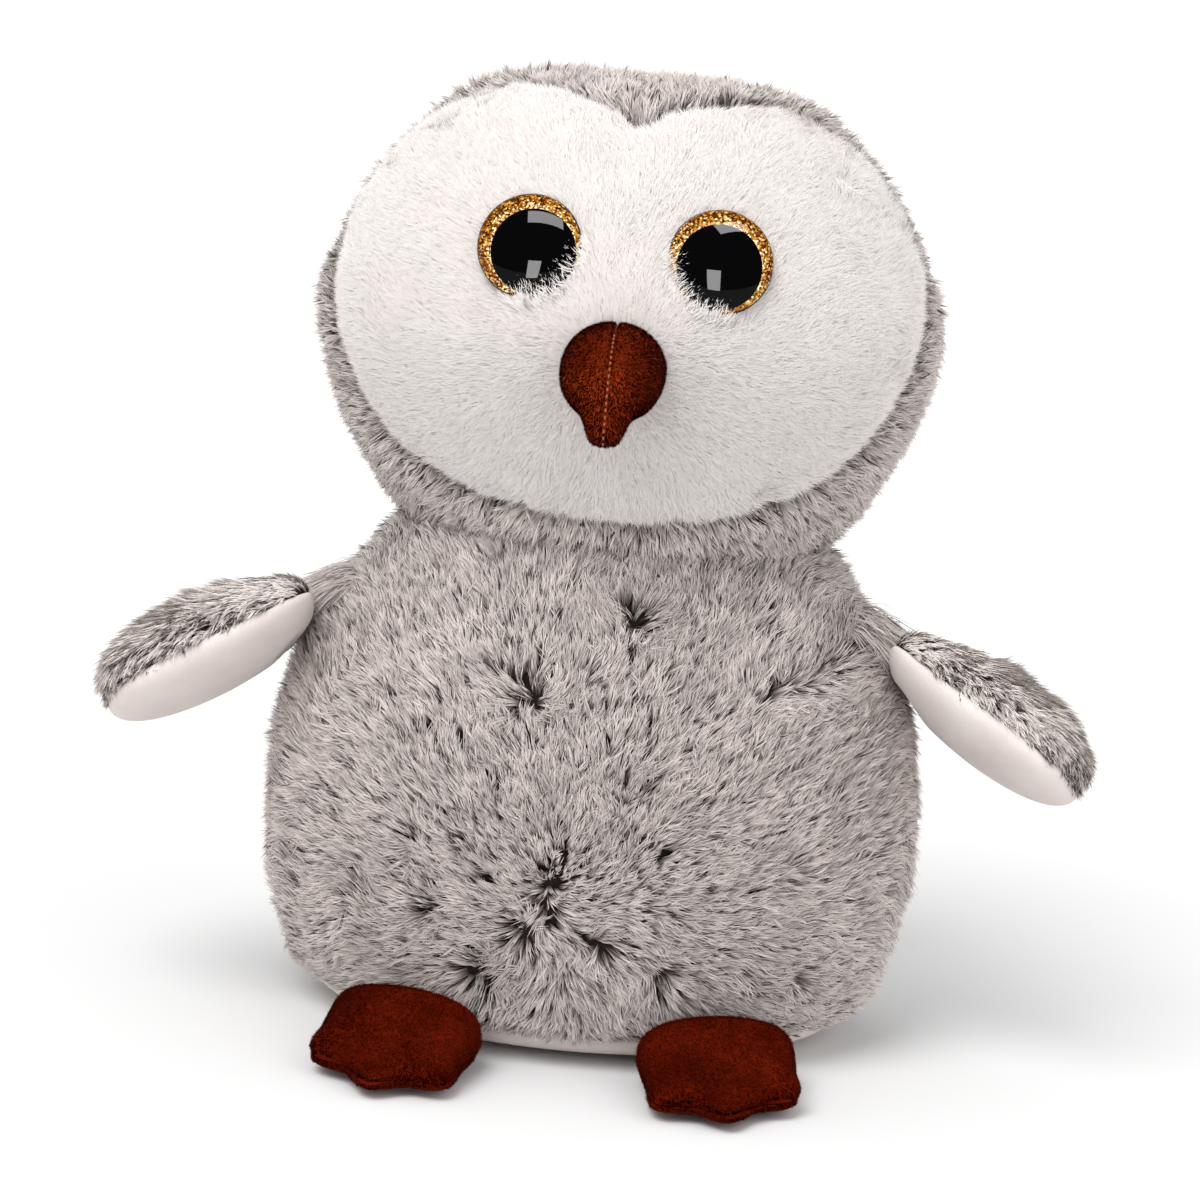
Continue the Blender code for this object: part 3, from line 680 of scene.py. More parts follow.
def nap(name, material, surface, per_area, seed, lay, keep, swirl=0.9, patch=0.020):
    """Short brushed fibres of one triangle each on a surface, where keep says so."""
    rng = np.random.default_rng(seed)
    places, normals = scattered(surface, per_area, rng, keep)
    count = len(places)
    brushed = np.tile(np.array(lay, float), (count, 1)) + drift(places, patch, seed, 3) * swirl
    brushed = along_surface(brushed + rng.normal(0, 0.25, (count, 3)), normals)
    own = NAP_LENGTH * rng.uniform(0.7, 1.2, count)[:, None]
    lift = rng.uniform(0.35, 0.7, count)[:, None]
    tip = places + (normals * lift + brushed * np.sqrt(1 - lift**2)) * own
    tip[:, 2] = np.maximum(tip[:, 2], 0.0003)
    across = np.cross(brushed, normals)
    root = places - normals * 0.0002
    half = NAP_WIDTH / 2
    points = np.stack((root + across * half, root - across * half, tip), axis=1)
    # Painted shade: each fibre's tone drifts in broad patches, darker where brushed nap looks darker.
    shade = 0.55 + 0.55 * drift(places, patch, seed + 1) + 0.2 * drift(places, patch / 4, seed + 2)
    shade = np.clip(shade + rng.normal(0, 0.10, count), 0.02, 0.98)
    facing = unit(normals + brushed * 0.3)
    return fibre_mesh(name, material, points, shade, facing)


# %% [markdown]
# The body is a pear with a flat base. Its skin lies inside the CAD surface by the depth that
# the pile needs, shallower at the base, where the velvet panel itself is the surface, and it
# dips a little along every seam.

# %% Body form
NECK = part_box("head_stuffing")[0].z - SEAM_GAP / 2
BODY_LOW, BODY_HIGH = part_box("body_front_cover")
BACK_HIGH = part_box("body_back_cover_left")[1]
BASE_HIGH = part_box("base_panel")[1].z
SIDE_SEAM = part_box("body_back_cover_left")[0].y
BODY_OVER_NECK = 0.042
PILE_DEPTH = 0.0065
SEAM_DIP = 0.0022
SEAM_REACH = 0.004
BODY_RING_SHARES = (
    (0.000, 0.34),
    (0.000, 0.68),
    (0.030, 0.88),
    (0.160, 0.99),
    (0.350, 1.03),
    (0.530, 1.00),
    (0.690, 0.885),
    (0.815, 0.68),
    (0.920, 0.56),
)


def near(distance, reach):
    """1 on a line, falling softly to 0 a few times its reach away."""
    return np.exp(-((distance / reach) ** 2))


def body_depth(places, outward):
    rise = np.clip((places[:, 2] - BASE_HIGH * 0.5) / 0.02, 0, 1)
    depth = 0.0006 + rise * (PILE_DEPTH - 0.0006)
    dip = near(places[:, 2] - BASE_HIGH, SEAM_REACH)
    dip += near(places[:, 1] - SIDE_SEAM, SEAM_REACH) * rise
    dip += near(places[:, 0], SEAM_REACH) * rise * (places[:, 1] > SIDE_SEAM)
    return depth + dip * SEAM_DIP


body_form = ring_form(
    BODY_RING_SHARES,
    12,
    (BODY_LOW.x, BODY_LOW.y, 0),
    (BODY_HIGH.x, BACK_HIGH.y, NECK + BODY_OVER_NECK),
)
sink(body_form, body_depth)
print("body form", len(body_form.verts), "points, neck at", round(NECK * 1000), "mm")

# %% Body panels
BAG_RING_SHARES = ((0.00, 0.55), (0.18, 0.96), (0.55, 1.00), (0.90, 0.62))
UP, DOWN = (0, 0, 1), (0, 0, -1)
at_neck = ((0, 0, NECK - SEAM_GAP / 2), UP)
above_base = ((0, 0, BASE_HIGH + SEAM_GAP), DOWN)
front_of_seam = ((0, SIDE_SEAM - SEAM_GAP, 0), (0, 1, 0))
behind_seam = ((0, SIDE_SEAM, 0), (0, -1, 0))

front = panel("body_front_cloth", body_form, [at_neck, above_base, front_of_seam], grey_backing)
dress(front, "torso", "grey_plush", "body_front_cover")
for side_name, side in SIDES:
    own_half = ((side * SEAM_GAP / 2, 0, 0), (-side, 0, 0))
    cuts = [at_neck, above_base, behind_seam, own_half]
    back = panel(f"body_back_cloth_{side_name}", body_form, cuts, grey_backing)
    dress(back, "torso", "grey_plush", f"body_back_cover_{side_name}")
base = panel("base_velvet", body_form, [((0, 0, BASE_HIGH), UP)], pale_velvet)
dress(base, "torso", "pale_lining", "base_panel")
bag_low, bag_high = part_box("pellet_bag")
bag_form = ring_form(BAG_RING_SHARES, 10, bag_low, bag_high, levels=2)
bag = dress(finished("weighted_bag", bag_form, pellet_cotton), "torso", "pellet_cloth", "pellet_bag")
neck_fill = banded_fill_look("neck_fill", srgb(240, 240, 238), srgb(70, 56, 50), NECK)
filling(
    "body_filling", body_form, [at_neck], 0.8, "torso", "body_stuffing", pocket=bag, material=neck_fill
)

# %% [markdown]
# The pile on the body has been stirred by handling. It is swept up and outwards from a swirl
# low on the front. At a parting the tufts lean away from a point on all sides, so that their
# dark roots show as a small star, and a row of partings makes a furrow. Each parting is a
# place on the front, with the length over which it reaches, its strength and its bareness.

# %% Body pile
SWIRL = Vector((-0.008, 0, 0.070))
PARTINGS = (
    # across, up, reach, push, bareness
    (-0.008, 0.084, 0.009, 1.0, 1.0),
    (-0.009, 0.077, 0.009, 1.0, 1.0),
    (-0.017, 0.059, 0.009, 1.0, 0.6),
    (-0.035, 0.039, 0.011, 1.3, 0.8),
    (-0.055, 0.061, 0.008, 0.9, 0.5),
    (-0.024, 0.152, 0.009, 1.2, 0.8),
    (-0.033, 0.157, 0.008, 1.0, 0.6),
    (0.017, 0.112, 0.006, 0.8, 0.6),
    (0.009, 0.058, 0.006, 0.8, 0.5),
    (0.037, 0.045, 0.009, 1.1, 0.8),
    (0.016, 0.182, 0.007, 1.0, 0.8),
    (0.086, 0.040, 0.008, 0.9, 0.6),
    (0.061, 0.156, 0.006, 0.8, 0.6),
    (0.068, 0.159, 0.006, 0.8, 0.8),
    (0.076, 0.160, 0.006, 0.8, 0.8),
    (0.083, 0.161, 0.006, 0.8, 0.7),
    (0.090, 0.166, 0.007, 0.9, 0.8),
    (-0.066, 0.084, 0.006, 0.8, 0.4),
)
BODY_PILE = 0.0112
DARK_SHARE = 0.105
NECK_SHADE_START = 0.14


def body_lay(places, normals):
    """The brushed direction on the body, and how bare each place is, from 0 to 1."""
    swept = places - np.array(SWIRL)
    swept[:, 1] = 0
    swept = unit(swept) + (0, 0.35, 0.35)
    front_share = np.clip(-places[:, 1] / 0.06 + 0.2, 0, 1)[:, None]
    lay = swept * front_share + np.array([0, 0, -1.0]) * (1 - front_share)
    lay += drift(places, 0.060, 1, 3) * 0.40 + drift(places, 0.016, 2, 3) * 0.65
    bare = np.zeros(len(places))
    in_front = places[:, 1] < 0
    bent = places + drift(places, 0.011, 8, 3) * 0.0045
    for across, up, reach, push, bareness in PARTINGS:
        outwards = bent - np.array([across, 0, up])
        outwards[:, 1] = 0
        distance = np.linalg.norm(outwards, axis=1)
        lay += unit(outwards) * (near(distance, reach * 1.3) * push * 1.4 * in_front)[:, None]
        bare = np.maximum(bare, near(distance, reach * 0.36) * bareness * in_front)
    return along_surface(lay, normals), bare


def tuft_tone(places, rng, seed, bare):
    """How pale each tuft is: mostly pale, with scattered dark ones that come in drifts."""
    tone = 0.80 + 0.18 * drift(places, 0.007, seed) + rng.normal(0, 0.09, len(places))
    share = DARK_SHARE * (1 + 1.3 * drift(places, 0.028, seed + 1) + drift(places, 0.009, seed + 2))
    dark = rng.random(len(places)) < share + bare * 0.9
    return np.where(dark, rng.uniform(0.0, 0.35, len(places)), tone), dark


def grow_body(name, material, keep, seed, per_area, per_tuft):
    rng = np.random.default_rng(seed)
    places, normals = scattered(body_surface, per_area, rng, keep)
    lay, bare = body_lay(places, normals)
    tone, dark = tuft_tone(places, rng, 5, bare)
    # Painted shade: the tone darkens from the chest up to the neck, where the head shades the body.
    tone = tone - 0.12 * np.clip((places[:, 2] - NECK_SHADE_START) / 0.05, 0, 1)
    low = np.clip(1 - (places[:, 2] - BASE_HIGH) / 0.016, 0, 1)
    high = np.clip(1 - (NECK - places[:, 2]) / 0.012, 0, 1)
    lay = along_surface(lay + low[:, None] * (0, 0, 0.9), normals)
    length = BODY_PILE * (1 + 0.14 * drift(places, 0.015, 3)) * (1 - 0.3 * bare) * (1 - 0.5 * low)
    length = length * np.where(dark, 0.9, 1)
    lift = 0.58 + 0.12 * drift(places, 0.01, 4) + 0.20 * low + 0.25 * high + 0.36 * bare
    pile = fibres(
        name, material, places, normals, lay, length, lift, tone, rng, per_tuft, 0.0011, FIBRE_WIDTH
    )
    return dress(pile, "torso", "grey_plush")


body_surface = surface_of(body_form)
FRONT_BANDS = (-0.2, -0.06, 0.0, 0.06, 0.2)
for index, (start, end) in enumerate(zip(FRONT_BANDS, FRONT_BANDS[1:])):
    grow_body(
        f"body_front_pile_{index + 1}", grey_pile,
        lambda p, n: (p[:, 1] < SIDE_SEAM + ragged(p, 0.012)) & (p[:, 2] > BASE_HIGH) & (p[:, 2] < NECK)
        & (p[:, 0] >= start) & (p[:, 0] < end),
        10 + index, 300000, 9,
    )
# The body's back wears the paler pile, painted light.
for side_name, side in SIDES:
    grow_body(
        f"body_back_pile_{side_name}", paler_pile_painted_light,
        lambda p, n: (p[:, 1] >= SIDE_SEAM + ragged(p, 0.012)) & (p[:, 2] > BASE_HIGH) & (p[:, 2] < NECK)
        & (p[:, 0] * side >= 0),
        20 + side, 190000, 6,
    )

# %% [markdown]
# The head is a wide ball that sits on the body at the neck. The face is a white panel let into
# its front, round but for a small peak of grey that dips between the brows. The peak's seam is
# a closed smooth curve, seen from the front, which cuts face and cover apart.

# %% Head form and face outline
HEAD_UNDER_NECK = 0.026
FACE_DEPTH = 0.0042
HEAD_RING_SHARES = (
    (0.030, 0.40),
    (0.110, 0.62),
    (0.200, 0.79),
    (0.350, 0.93),
    (0.530, 1.03),
    (0.700, 0.95),
    (0.840, 0.80),
    (0.950, 0.62),
    (1.000, 0.40),
)
FACE_OUTLINE_SHARES = (
    (0.00, 0.85),
    (0.08, 0.91),
    (0.22, 0.96),
    (0.42, 0.97),
    (0.61, 0.88),
    (0.78, 0.72),
    (0.91, 0.50),
    (0.99, 0.20),
    (0.99, -0.14),
    (0.90, -0.47),
    (0.72, -0.76),
    (0.44, -0.94),
    (0.15, -1.00),
)
FACE_LOW, FACE_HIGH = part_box("face_panel")
COVER_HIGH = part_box("head_cover_left")[1]
HEAD_LOW = Vector((-COVER_HIGH.x, FACE_LOW.y, NECK - HEAD_UNDER_NECK))
FACE_HALF_WIDTH = COVER_HIGH.x - 0.013
FACE_TOP = COVER_HIGH.z - 0.008
FACE_BOTTOM = NECK + 0.024


def smooth_loop(points, steps):
    """A closed smooth curve through the points."""
    made = []
    for index in range(len(points)):
        before, start, end, after = (points[(index + k) % len(points)] for k in (-1, 0, 1, 2))
        for step in range(steps):
            t = step / steps
            bend = (after - 3 * end + 3 * start - before) * t
            bend += 2 * before - 5 * start + 4 * end - after
            made.append(start + ((bend * t + end - before) * t) / 2)
    return np.array(made)


half_line = np.array(FACE_OUTLINE_SHARES)
whole_line = np.concatenate((half_line, half_line[:0:-1] * (-1, 1)))
face_middle = (FACE_TOP + FACE_BOTTOM) / 2
FACE_LINE = smooth_loop(whole_line, 4) * (FACE_HALF_WIDTH, (FACE_TOP - FACE_BOTTOM) / 2)
FACE_LINE[:, 1] += face_middle


def inside_face(places):
    """How far inside the face's seam each place lies, seen from the front; less than 0 outside."""
    starts, ends = FACE_LINE, np.roll(FACE_LINE, -1, axis=0)
    along = ends - starts
    made = np.full(len(places), -0.05)
    in_front = np.flatnonzero(places[:, 1] < 0)
    for part in np.array_split(in_front, len(in_front) // 20000 + 1):
        spot = places[part][:, None, (0, 2)]
        share = ((spot - starts) * along).sum(axis=2) / (along**2).sum(axis=1)
        nearest = starts + along * np.clip(share, 0, 1)[:, :, None]
        distance = np.linalg.norm(spot - nearest, axis=2).min(axis=1)
        spans = (starts[:, 1] > spot[:, :, 1]) != (ends[:, 1] > spot[:, :, 1])
        slope = along[:, 0] / np.where(along[:, 1] == 0, 1, along[:, 1])
        crossed = spans & (spot[:, :, 0] < starts[:, 0] + slope * (spot[:, :, 1] - starts[:, 1]))
        made[part] = distance * np.where(crossed.sum(axis=1) % 2, 1, -1)
    return made


def face_prism(name, grow):
    """A prism through the head's front, on the outline of the face."""
    bm = bmesh.new()
    middle = np.array((0, face_middle))
    front_edge = HEAD_LOW.y - 0.05
    rim = []
    for spot in FACE_LINE:
        away_from_middle = (spot - middle) / np.linalg.norm(spot - middle)
        x, z = spot + away_from_middle * grow
        rim.append(bm.verts.new((x, front_edge, z)))
    made = bmesh.ops.extrude_face_region(bm, geom=[bm.faces.new(rim)])
    moved = [v for v in made["geom"] if isinstance(v, bmesh.types.BMVert)]
    bmesh.ops.translate(bm, verts=moved, vec=(0, -front_edge, 0))
    bmesh.ops.recalc_face_normals(bm, faces=bm.faces[:])
    return finished(name, bm, smooth=False)


def head_depth(places, outward):
    inside = inside_face(places - outward * PILE_DEPTH)
    white = np.clip(inside / 0.003 + 0.5, 0, 1)
    depth = PILE_DEPTH + (FACE_DEPTH - PILE_DEPTH) * white
    dip = near(inside, SEAM_REACH) + near(places[:, 2] - NECK, SEAM_REACH)
    dip += near(places[:, 0], SEAM_REACH) * (1 - white)
    return depth + dip * SEAM_DIP


head_reach = (HEAD_LOW, COVER_HIGH)
head_form = ring_form(HEAD_RING_SHARES, 12, *head_reach)
BEAK_HEIGHT = NECK + (COVER_HIGH.z - NECK) * 0.448
beak_spot = BVHTree.FromBMesh(head_form).ray_cast(Vector((0, -1, BEAK_HEIGHT)), Vector((0, 1, 0)))[0]
sink(head_form, head_depth)
print("head form", len(head_form.verts), "points")

# %% [markdown]
# The eyes are plastic domes on posts, pushed through the face and locked behind it, so they
# press a shallow seat into the filling. Their places and directions are read off the packed
# iris discs.

# %% Eye places
EYE_PRESS_REACH = 0.006


def eye_place(side_name):
    """An eye's seat: Z points out of the face, X to the owl's left, zero is the iris disc."""
    corners = np.array([v.co for v in frame["nodes"][f"eye_{side_name}_iris"].data.vertices])
    corners = np.unique(corners.round(6), axis=0)
    middle = Vector(corners.mean(axis=0))
    outward = Vector(np.linalg.svd(corners - corners.mean(axis=0))[2][2])
    if outward.y > 0:
        outward = -outward
    right = Vector((0, 0, 1)).cross(outward).normalized()
    turn = Matrix((right, outward.cross(right), outward)).transposed().to_4x4()
    return Matrix.Translation(middle) @ turn


EYES = {side_name: eye_place(side_name) for side_name, _ in SIDES}
LENS = [EYES["left"].inverted() @ v.co for v in frame["nodes"]["eye_left_lens"].data.vertices]
EYE_RADIUS = max(math.hypot(p.x, p.y) for p in LENS)
EYE_TOP = max(p.z for p in LENS)
EYE_FOOT = min(p.z for p in LENS)
print("eye radius", round(EYE_RADIUS * 1000, 1), "dome", round((EYE_TOP - EYE_FOOT) * 1000, 1), "mm")

for matrix in EYES.values():
    inverse = matrix.inverted()
    for v in head_form.verts:
        spot = inverse @ v.co
        radius = math.hypot(spot.x, spot.y)
        press = max(0, min(1, (EYE_RADIUS + EYE_PRESS_REACH - radius) / EYE_PRESS_REACH))
        if press > 0 and spot.z > EYE_FOOT - 0.03:
            limit = EYE_FOOT - 0.0022
            spot.z += min(0, limit - spot.z) * press * press * (3 - 2 * press)
            v.co = matrix @ spot
head_form.normal_update()

# %% Head panels
over_neck = ((0, 0, NECK + SEAM_GAP / 2), DOWN)
face_inside = face_prism("face_inside", 0)
face_outside = face_prism("face_outside", SEAM_GAP)
face = panel("face_cloth", head_form, [over_neck], white_backing, face_inside, True)
dress(face, "head", "white_plush", "face_panel")
for side_name, side in SIDES:
    own_half = ((side * SEAM_GAP / 2, 0, 0), (-side, 0, 0))
    name = f"head_cloth_{side_name}"
    cover = panel(name, head_form, [over_neck, own_half], grey_backing, face_outside, False)
    dress(cover, "head", "grey_plush", f"head_cover_{side_name}")
for cutter in (face_inside, face_outside):
    bpy.data.objects.remove(cutter, do_unlink=True)
filling("head_filling", head_form, [over_neck], 0.8, "head", "head_stuffing", material=neck_fill)

# %% [markdown]
# The head's pile is combed away from the face, so that its dark roots show along the seam and
# fan out from the peak. The face's own pile is white, shorter and denser, and runs outwards
# from the beak, which lets it lap over the inner rims of the eyes.

# %% Head pile
HEAD_PILE = 0.0105
FACE_PILE = 0.0058
RIM_LAP = 0.0098
FACE_CENTRE = Vector((0, 0, 0.285))


def clear_of_eyes(places, margin):
    clear = np.ones(len(places), bool)
    for matrix in EYES.values():
        inverse = np.array(matrix.inverted())
        spots = places @ inverse[:3, :3].T + inverse[:3, 3]
        clear &= np.hypot(spots[:, 0], spots[:, 1]) > EYE_RADIUS + margin
    return clear


def face_side(places):
    """Above 0 where the pile is white; the border wanders a little about the seam."""
    return inside_face(places) + drift(places, 0.005, 47) * 0.0006


def grow_head(name, material, keep, seed, per_area, per_tuft):
    rng = np.random.default_rng(seed)
    places, normals = scattered(head_surface, per_area, rng, keep)
    outwards = places - np.array(FACE_CENTRE)
    outwards[:, 1] = 0
    front_share = np.clip(-places[:, 1] / 0.06 + 0.3, 0, 1)[:, None]
    backwards = np.tile(np.array([0.0, 0.9, -0.35]), (len(places), 1))
    lay = unit(outwards) * 1.35 * front_share + backwards * (1.15 - front_share * 0.8)
    lay += drift(places, 0.04, 31, 3) * 0.40 + drift(places, 0.014, 32, 3) * 0.45
    chin = np.clip(1 - (places[:, 2] - NECK) / 0.016, 0, 1)
    lay[:, 2] -= chin * 1.5
    lay = along_surface(lay, normals)
    seam = near(inside_face(places), 0.0045)
    tone, dark = tuft_tone(places, rng, 35, seam * 0.10)
    length = HEAD_PILE * (1 + 0.14 * drift(places, 0.015, 33)) * np.where(dark, 0.9, 1)
    lift = 0.46 + 0.12 * front_share[:, 0] + 0.10 * drift(places, 0.01, 34)
    lift += chin * (0.42 * front_share[:, 0] - 0.14)
    pile = fibres(
        name, material, places, normals, lay, length, lift, tone, rng, per_tuft, 0.0011, FIBRE_WIDTH
    )
    return dress(pile, "head", "grey_plush")


def rim_lap(places):
    """How far the face's pile laps over the low inner rim of an eye, and which way it leans."""
    lap = np.zeros(len(places))
    towards = np.zeros((len(places), 3))
    for side_name, side in SIDES:
        matrix = np.array(EYES[side_name])
        spots = (places - matrix[:3, 3]) @ matrix[:3, :3]
        radius = np.maximum(np.hypot(spots[:, 0], spots[:, 1]), 1e-6)
        inner_low = (-side * spots[:, 0] - spots[:, 1]) / radius / 2**0.5
        own = np.clip((inner_low - 0.40) / 0.30, 0, 1) * np.clip(1.3 - (radius - EYE_RADIUS) / 0.0035, 0, 1)
        lap = np.maximum(lap, own * (spots[:, 2] > EYE_FOOT - 0.02))
        inwards = -(spots[:, :1] * matrix[:3, 0] + spots[:, 1:2] * matrix[:3, 1])
        towards += unit(inwards) * own[:, None]
    return lap, towards


def grow_face(name, keep, seed, per_area, per_tuft, bent):
    rng = np.random.default_rng(seed)
    places, normals = scattered(head_surface, per_area, rng, keep)
    lay = places - np.array(FACE_CENTRE)
    lay[:, 1] = 0
    lay = unit(lay) + drift(places, 0.03, 41, 3) * 0.4 + drift(places, 0.010, 42, 3) * 0.4
    lap, towards = rim_lap(places)
    lay = along_surface(lay * (1 - lap[:, None]) + towards * 1.5, normals)
    edge = near(inside_face(places), 0.006)
    length = FACE_PILE * (1 + 0.10 * drift(places, 0.015, 43) + 0.5 * edge)
    length = length + (RIM_LAP * rng.uniform(0.7, 1.1, len(places)) - length) * lap
    lift = 0.56 + 0.06 * drift(places, 0.008, 44) - 0.16 * edge + 0.24 * lap
    tone = 0.80 + 0.20 * drift(places, 0.008, 45) + rng.normal(0, 0.08, len(places))
    pile = fibres(
        name, white_pile, places, normals, lay, length, lift, tone, rng, per_tuft, 0.0013, 0.00050,
        normal_share=0.9, gather=0.8, bent=bent,
    )
    return dress(pile, "head", "white_plush")


head_surface = surface_of(head_form)
for side_name, side in SIDES:
    grow_head(
        f"head_front_pile_{side_name}", grey_pile,
        lambda p, n: (p[:, 0] * side >= 0) & (p[:, 1] < ragged(p, 0.012)) & (p[:, 2] > NECK)
        & (face_side(p) < 0),
        50 + side, 300000, 9,
    )
    # The head's back wears the paler pile, painted light.
    grow_head(
        f"head_back_pile_{side_name}", paler_pile_painted_light,
        lambda p, n: (p[:, 0] * side >= 0) & (p[:, 1] >= ragged(p, 0.012)) & (p[:, 2] > NECK),
        55 + side, 190000, 6,
    )
    grow_face(
        f"face_pile_{side_name}",
        lambda p, n: (p[:, 0] * side >= 0) & (face_side(p) > 0) & clear_of_eyes(p, -0.001)
        & (np.hypot(p[:, 0] / 1.05, p[:, 2] - BEAK_HEIGHT) > 0.0165),
        60 + side, 1000000, 5, False,
    )
    grow_face(
        f"eye_rim_pile_{side_name}",
        lambda p, n: (p[:, 0] * side >= 0) & (rim_lap(p)[0] > 0.3) & clear_of_eyes(p, -0.001),
        63 + side, 5200000, 4, True,
    )

# %% [markdown]
# Each eye is a clear dome over a printed disc. What shows is a black pupil with a broad ring of
# gold glitter round it, and a thin dark rim. The glitter is painted brighter towards the pupil,
# a painted highlight, and darker outwards, painted shade from the fur round it; the thin dark rim
# is the eye's edge with the same painted shadow. The pupils sit a little inwards and low, so the
# gold is widest above and on the outer side. One polished piece carries the whole look on its
# own flat map, which measures the eye in millimetres from its middle.

# %% Eyes
PUPIL_RADIUS = 17.0
GOLD_RADIUS = 20.7
DOME_STEPS = 20
DOME_SEGMENTS = 72


def dome_mesh(name, matrix):
    """The polished dome, spun round its axis from its top to its foot and closed below."""
    bm = bmesh.new()
    line = []
    for step in range(DOME_STEPS + 1):
        angle = math.pi / 2 * step / DOME_STEPS
        rise = EYE_FOOT + 0.0010 + (EYE_TOP - EYE_FOOT - 0.0010) * math.cos(angle)
        line.append(bm.verts.new((EYE_RADIUS * math.sin(angle), 0, rise)))
    line.append(bm.verts.new((EYE_RADIUS - 0.0008, 0, EYE_FOOT)))
    line.append(bm.verts.new((0, 0, EYE_FOOT + 0.0009)))
    edges = [bm.edges.new(pair) for pair in zip(line, line[1:])]
    bmesh.ops.spin(
        bm, geom=line + edges, cent=(0, 0, 0), axis=(0, 0, 1), angle=2 * math.pi,
        steps=DOME_SEGMENTS, use_merge=True,
    )
    bmesh.ops.remove_doubles(bm, verts=bm.verts[:], dist=1e-6)
    bmesh.ops.recalc_face_normals(bm, faces=bm.faces[:])
    flat = bm.loops.layers.uv.new("Pattern")
    for polygon in bm.faces:
        for loop in polygon.loops:
            loop[flat].uv = (loop.vert.co.x * 1000, loop.vert.co.y * 1000)
    bm.transform(matrix)
    return bm


def eye_look(name, shift):
    """Pupil, glitter and rim by distance from their centres, under a clear coat, with painted light on the glitter
    and painted shadow on the rim.
    """
    look = Look(name, Roughness=0.25, Specular_IOR_Level=0.0)
    for socket, value in (("Coat Weight", 1.0), ("Coat Roughness", 0.02), ("Coat IOR", 1.2)):
        look.put(look.shader.inputs[socket], value)
    x, y = look.map_axes("Pattern")
    from_pupil = ((x - shift[0]) ** 2 + (y - shift[1]) ** 2) ** 0.5
    from_middle = (x**2 + y**2) ** 0.5
    where = look.node("ShaderNodeTexCoord", {}, {}, "Object")
    flakes = look.node("ShaderNodeTexVoronoi", {}, {"Scale": 1350, "Vector": where}, "Color")
    apart = look.tree.nodes.new("ShaderNodeSeparateXYZ")
    look.put(apart.inputs[0], flakes)
    flash = Value(look, apart.outputs[0])
    # Painted light: the glitter is brighter near the pupil, a painted highlight, and darker outwards, painted shade.
    painted_inner_light = 1 - (from_pupil - PUPIL_RADIUS) / 6
    gold = look.ramp(
        flash * 0.80 + painted_inner_light * 0.26,
        [(0.25, srgb(60, 24, 4)), (0.5, srgb(124, 66, 12)), (0.75, srgb(200, 140, 44)), (0.96, srgb(255, 244, 190))],
    )
    black = srgb(4, 4, 5)
    ringed = look.mix(from_pupil < PUPIL_RADIUS, gold, black)
    # The thin dark rim beyond the gold is the eye's edge and painted shadow from the fur round it.
    look.colour(look.mix(from_middle > GOLD_RADIUS, ringed, srgb(40, 26, 14)))
    return look.material


for side_name, side in SIDES:
    shift = (-side * (0.8 if side > 0 else 2.8), -2.8)
    dome = finished(f"eye_dome_{side_name}", dome_mesh(f"eye_dome_{side_name}", EYES[side_name]),
                    eye_look(f"eye_glitter_{side_name}", shift))
    dress(dome, "head", "eye_lens", f"eye_{side_name}_lens")

# %% [markdown]
# The domes mirror the studio: a small upright panel low in front, and a broad one high on the
# right. Each lamp's place is worked out backwards. The line of sight is reflected at the spot
# on the dome where the glint is wanted, and the lamp is put on that line. A lamp shows in one
# dome only, so that it doesn't change the light on the plush.

# %% Glints
LAMP_DISTANCE = 1.0


def glint(name, side_name, across, rise, width, height, power):
    """A lamp that is mirrored at a place on an eye's dome, in metres from the dome's middle."""
    depth = EYE_TOP - EYE_FOOT - 0.0010
    share = math.sqrt(1 - (across**2 + rise**2) / EYE_RADIUS**2)
    spot = Vector((across, rise, EYE_FOOT + 0.0010 + depth * share))
    outward = Vector((across / EYE_RADIUS**2, rise / EYE_RADIUS**2, share / depth))
    spot = EYES[side_name] @ spot
    outward = (EYES[side_name].to_3x3() @ outward).normalized()
    sight = (spot - camera.location).normalized()
    towards = sight - outward * 2 * sight.dot(outward)
    lamp = bpy.data.objects.new(name, bpy.data.lights.new(name, "AREA"))
    lamp.data.shape = "RECTANGLE"
    lamp.data.size = width
    lamp.data.size_y = height
    lamp.data.energy = power
    lamp.location = spot + towards * LAMP_DISTANCE
    lamp.rotation_euler = towards.to_track_quat("Z", "Y").to_euler()
    lamp.visible_diffuse = False
    scene.collection.objects.link(lamp)
    lit = bpy.data.collections.new(f"{name}_{side_name}")
    lit.objects.link(bpy.data.objects[f"eye_dome_{side_name}"])
    lamp.light_linking.receiver_collection = lit


glint("front_panel", "right", 0.0044, -0.0109, 0.22, 0.38, 9)
glint("high_panel", "right", 0.0074, 0.0108, 0.70, 0.27, 18)
glint("front_panel", "left", -0.0032, -0.0090, 0.22, 0.38, 9)
glint("high_panel", "left", 0.0036, 0.0138, 0.60, 0.27, 16)

# %% [markdown]
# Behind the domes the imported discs, backs and washers are true as they are. They only need
# plastic that shows its moulding.

# %% Hidden plastic


def plastic_look(name, colour, roughness):
    look = Look(name, Roughness=roughness)
    flow = look.noise(240, 3.0)
    look.colour(look.mix(flow * 0.4, colour, tuple(c * 0.7 for c in colour)))
    look.bump(flow, 0.1, 0.0002)
    return look.material


glitter_disc = plastic_look("glitter_disc", srgb(200, 150, 60), 0.35)
black_plastic = plastic_look("black_moulding", srgb(24, 24, 26), 0.4)
white_plastic = plastic_look("white_moulding", srgb(228, 228, 222), 0.4)
for side_name, _ in SIDES:
    for kind, material in (("iris", glitter_disc), ("backing", black_plastic), ("washer", white_plastic)):
        node = frame["nodes"][f"eye_{side_name}_{kind}"]
        for slot in node.material_slots:
            slot.material = material

# %% [markdown]
# The beak is a hooked cone of brushed felt, sewn from two halves along its ridge. The seam
# pulls in and light thread shows as a row of small stitches.

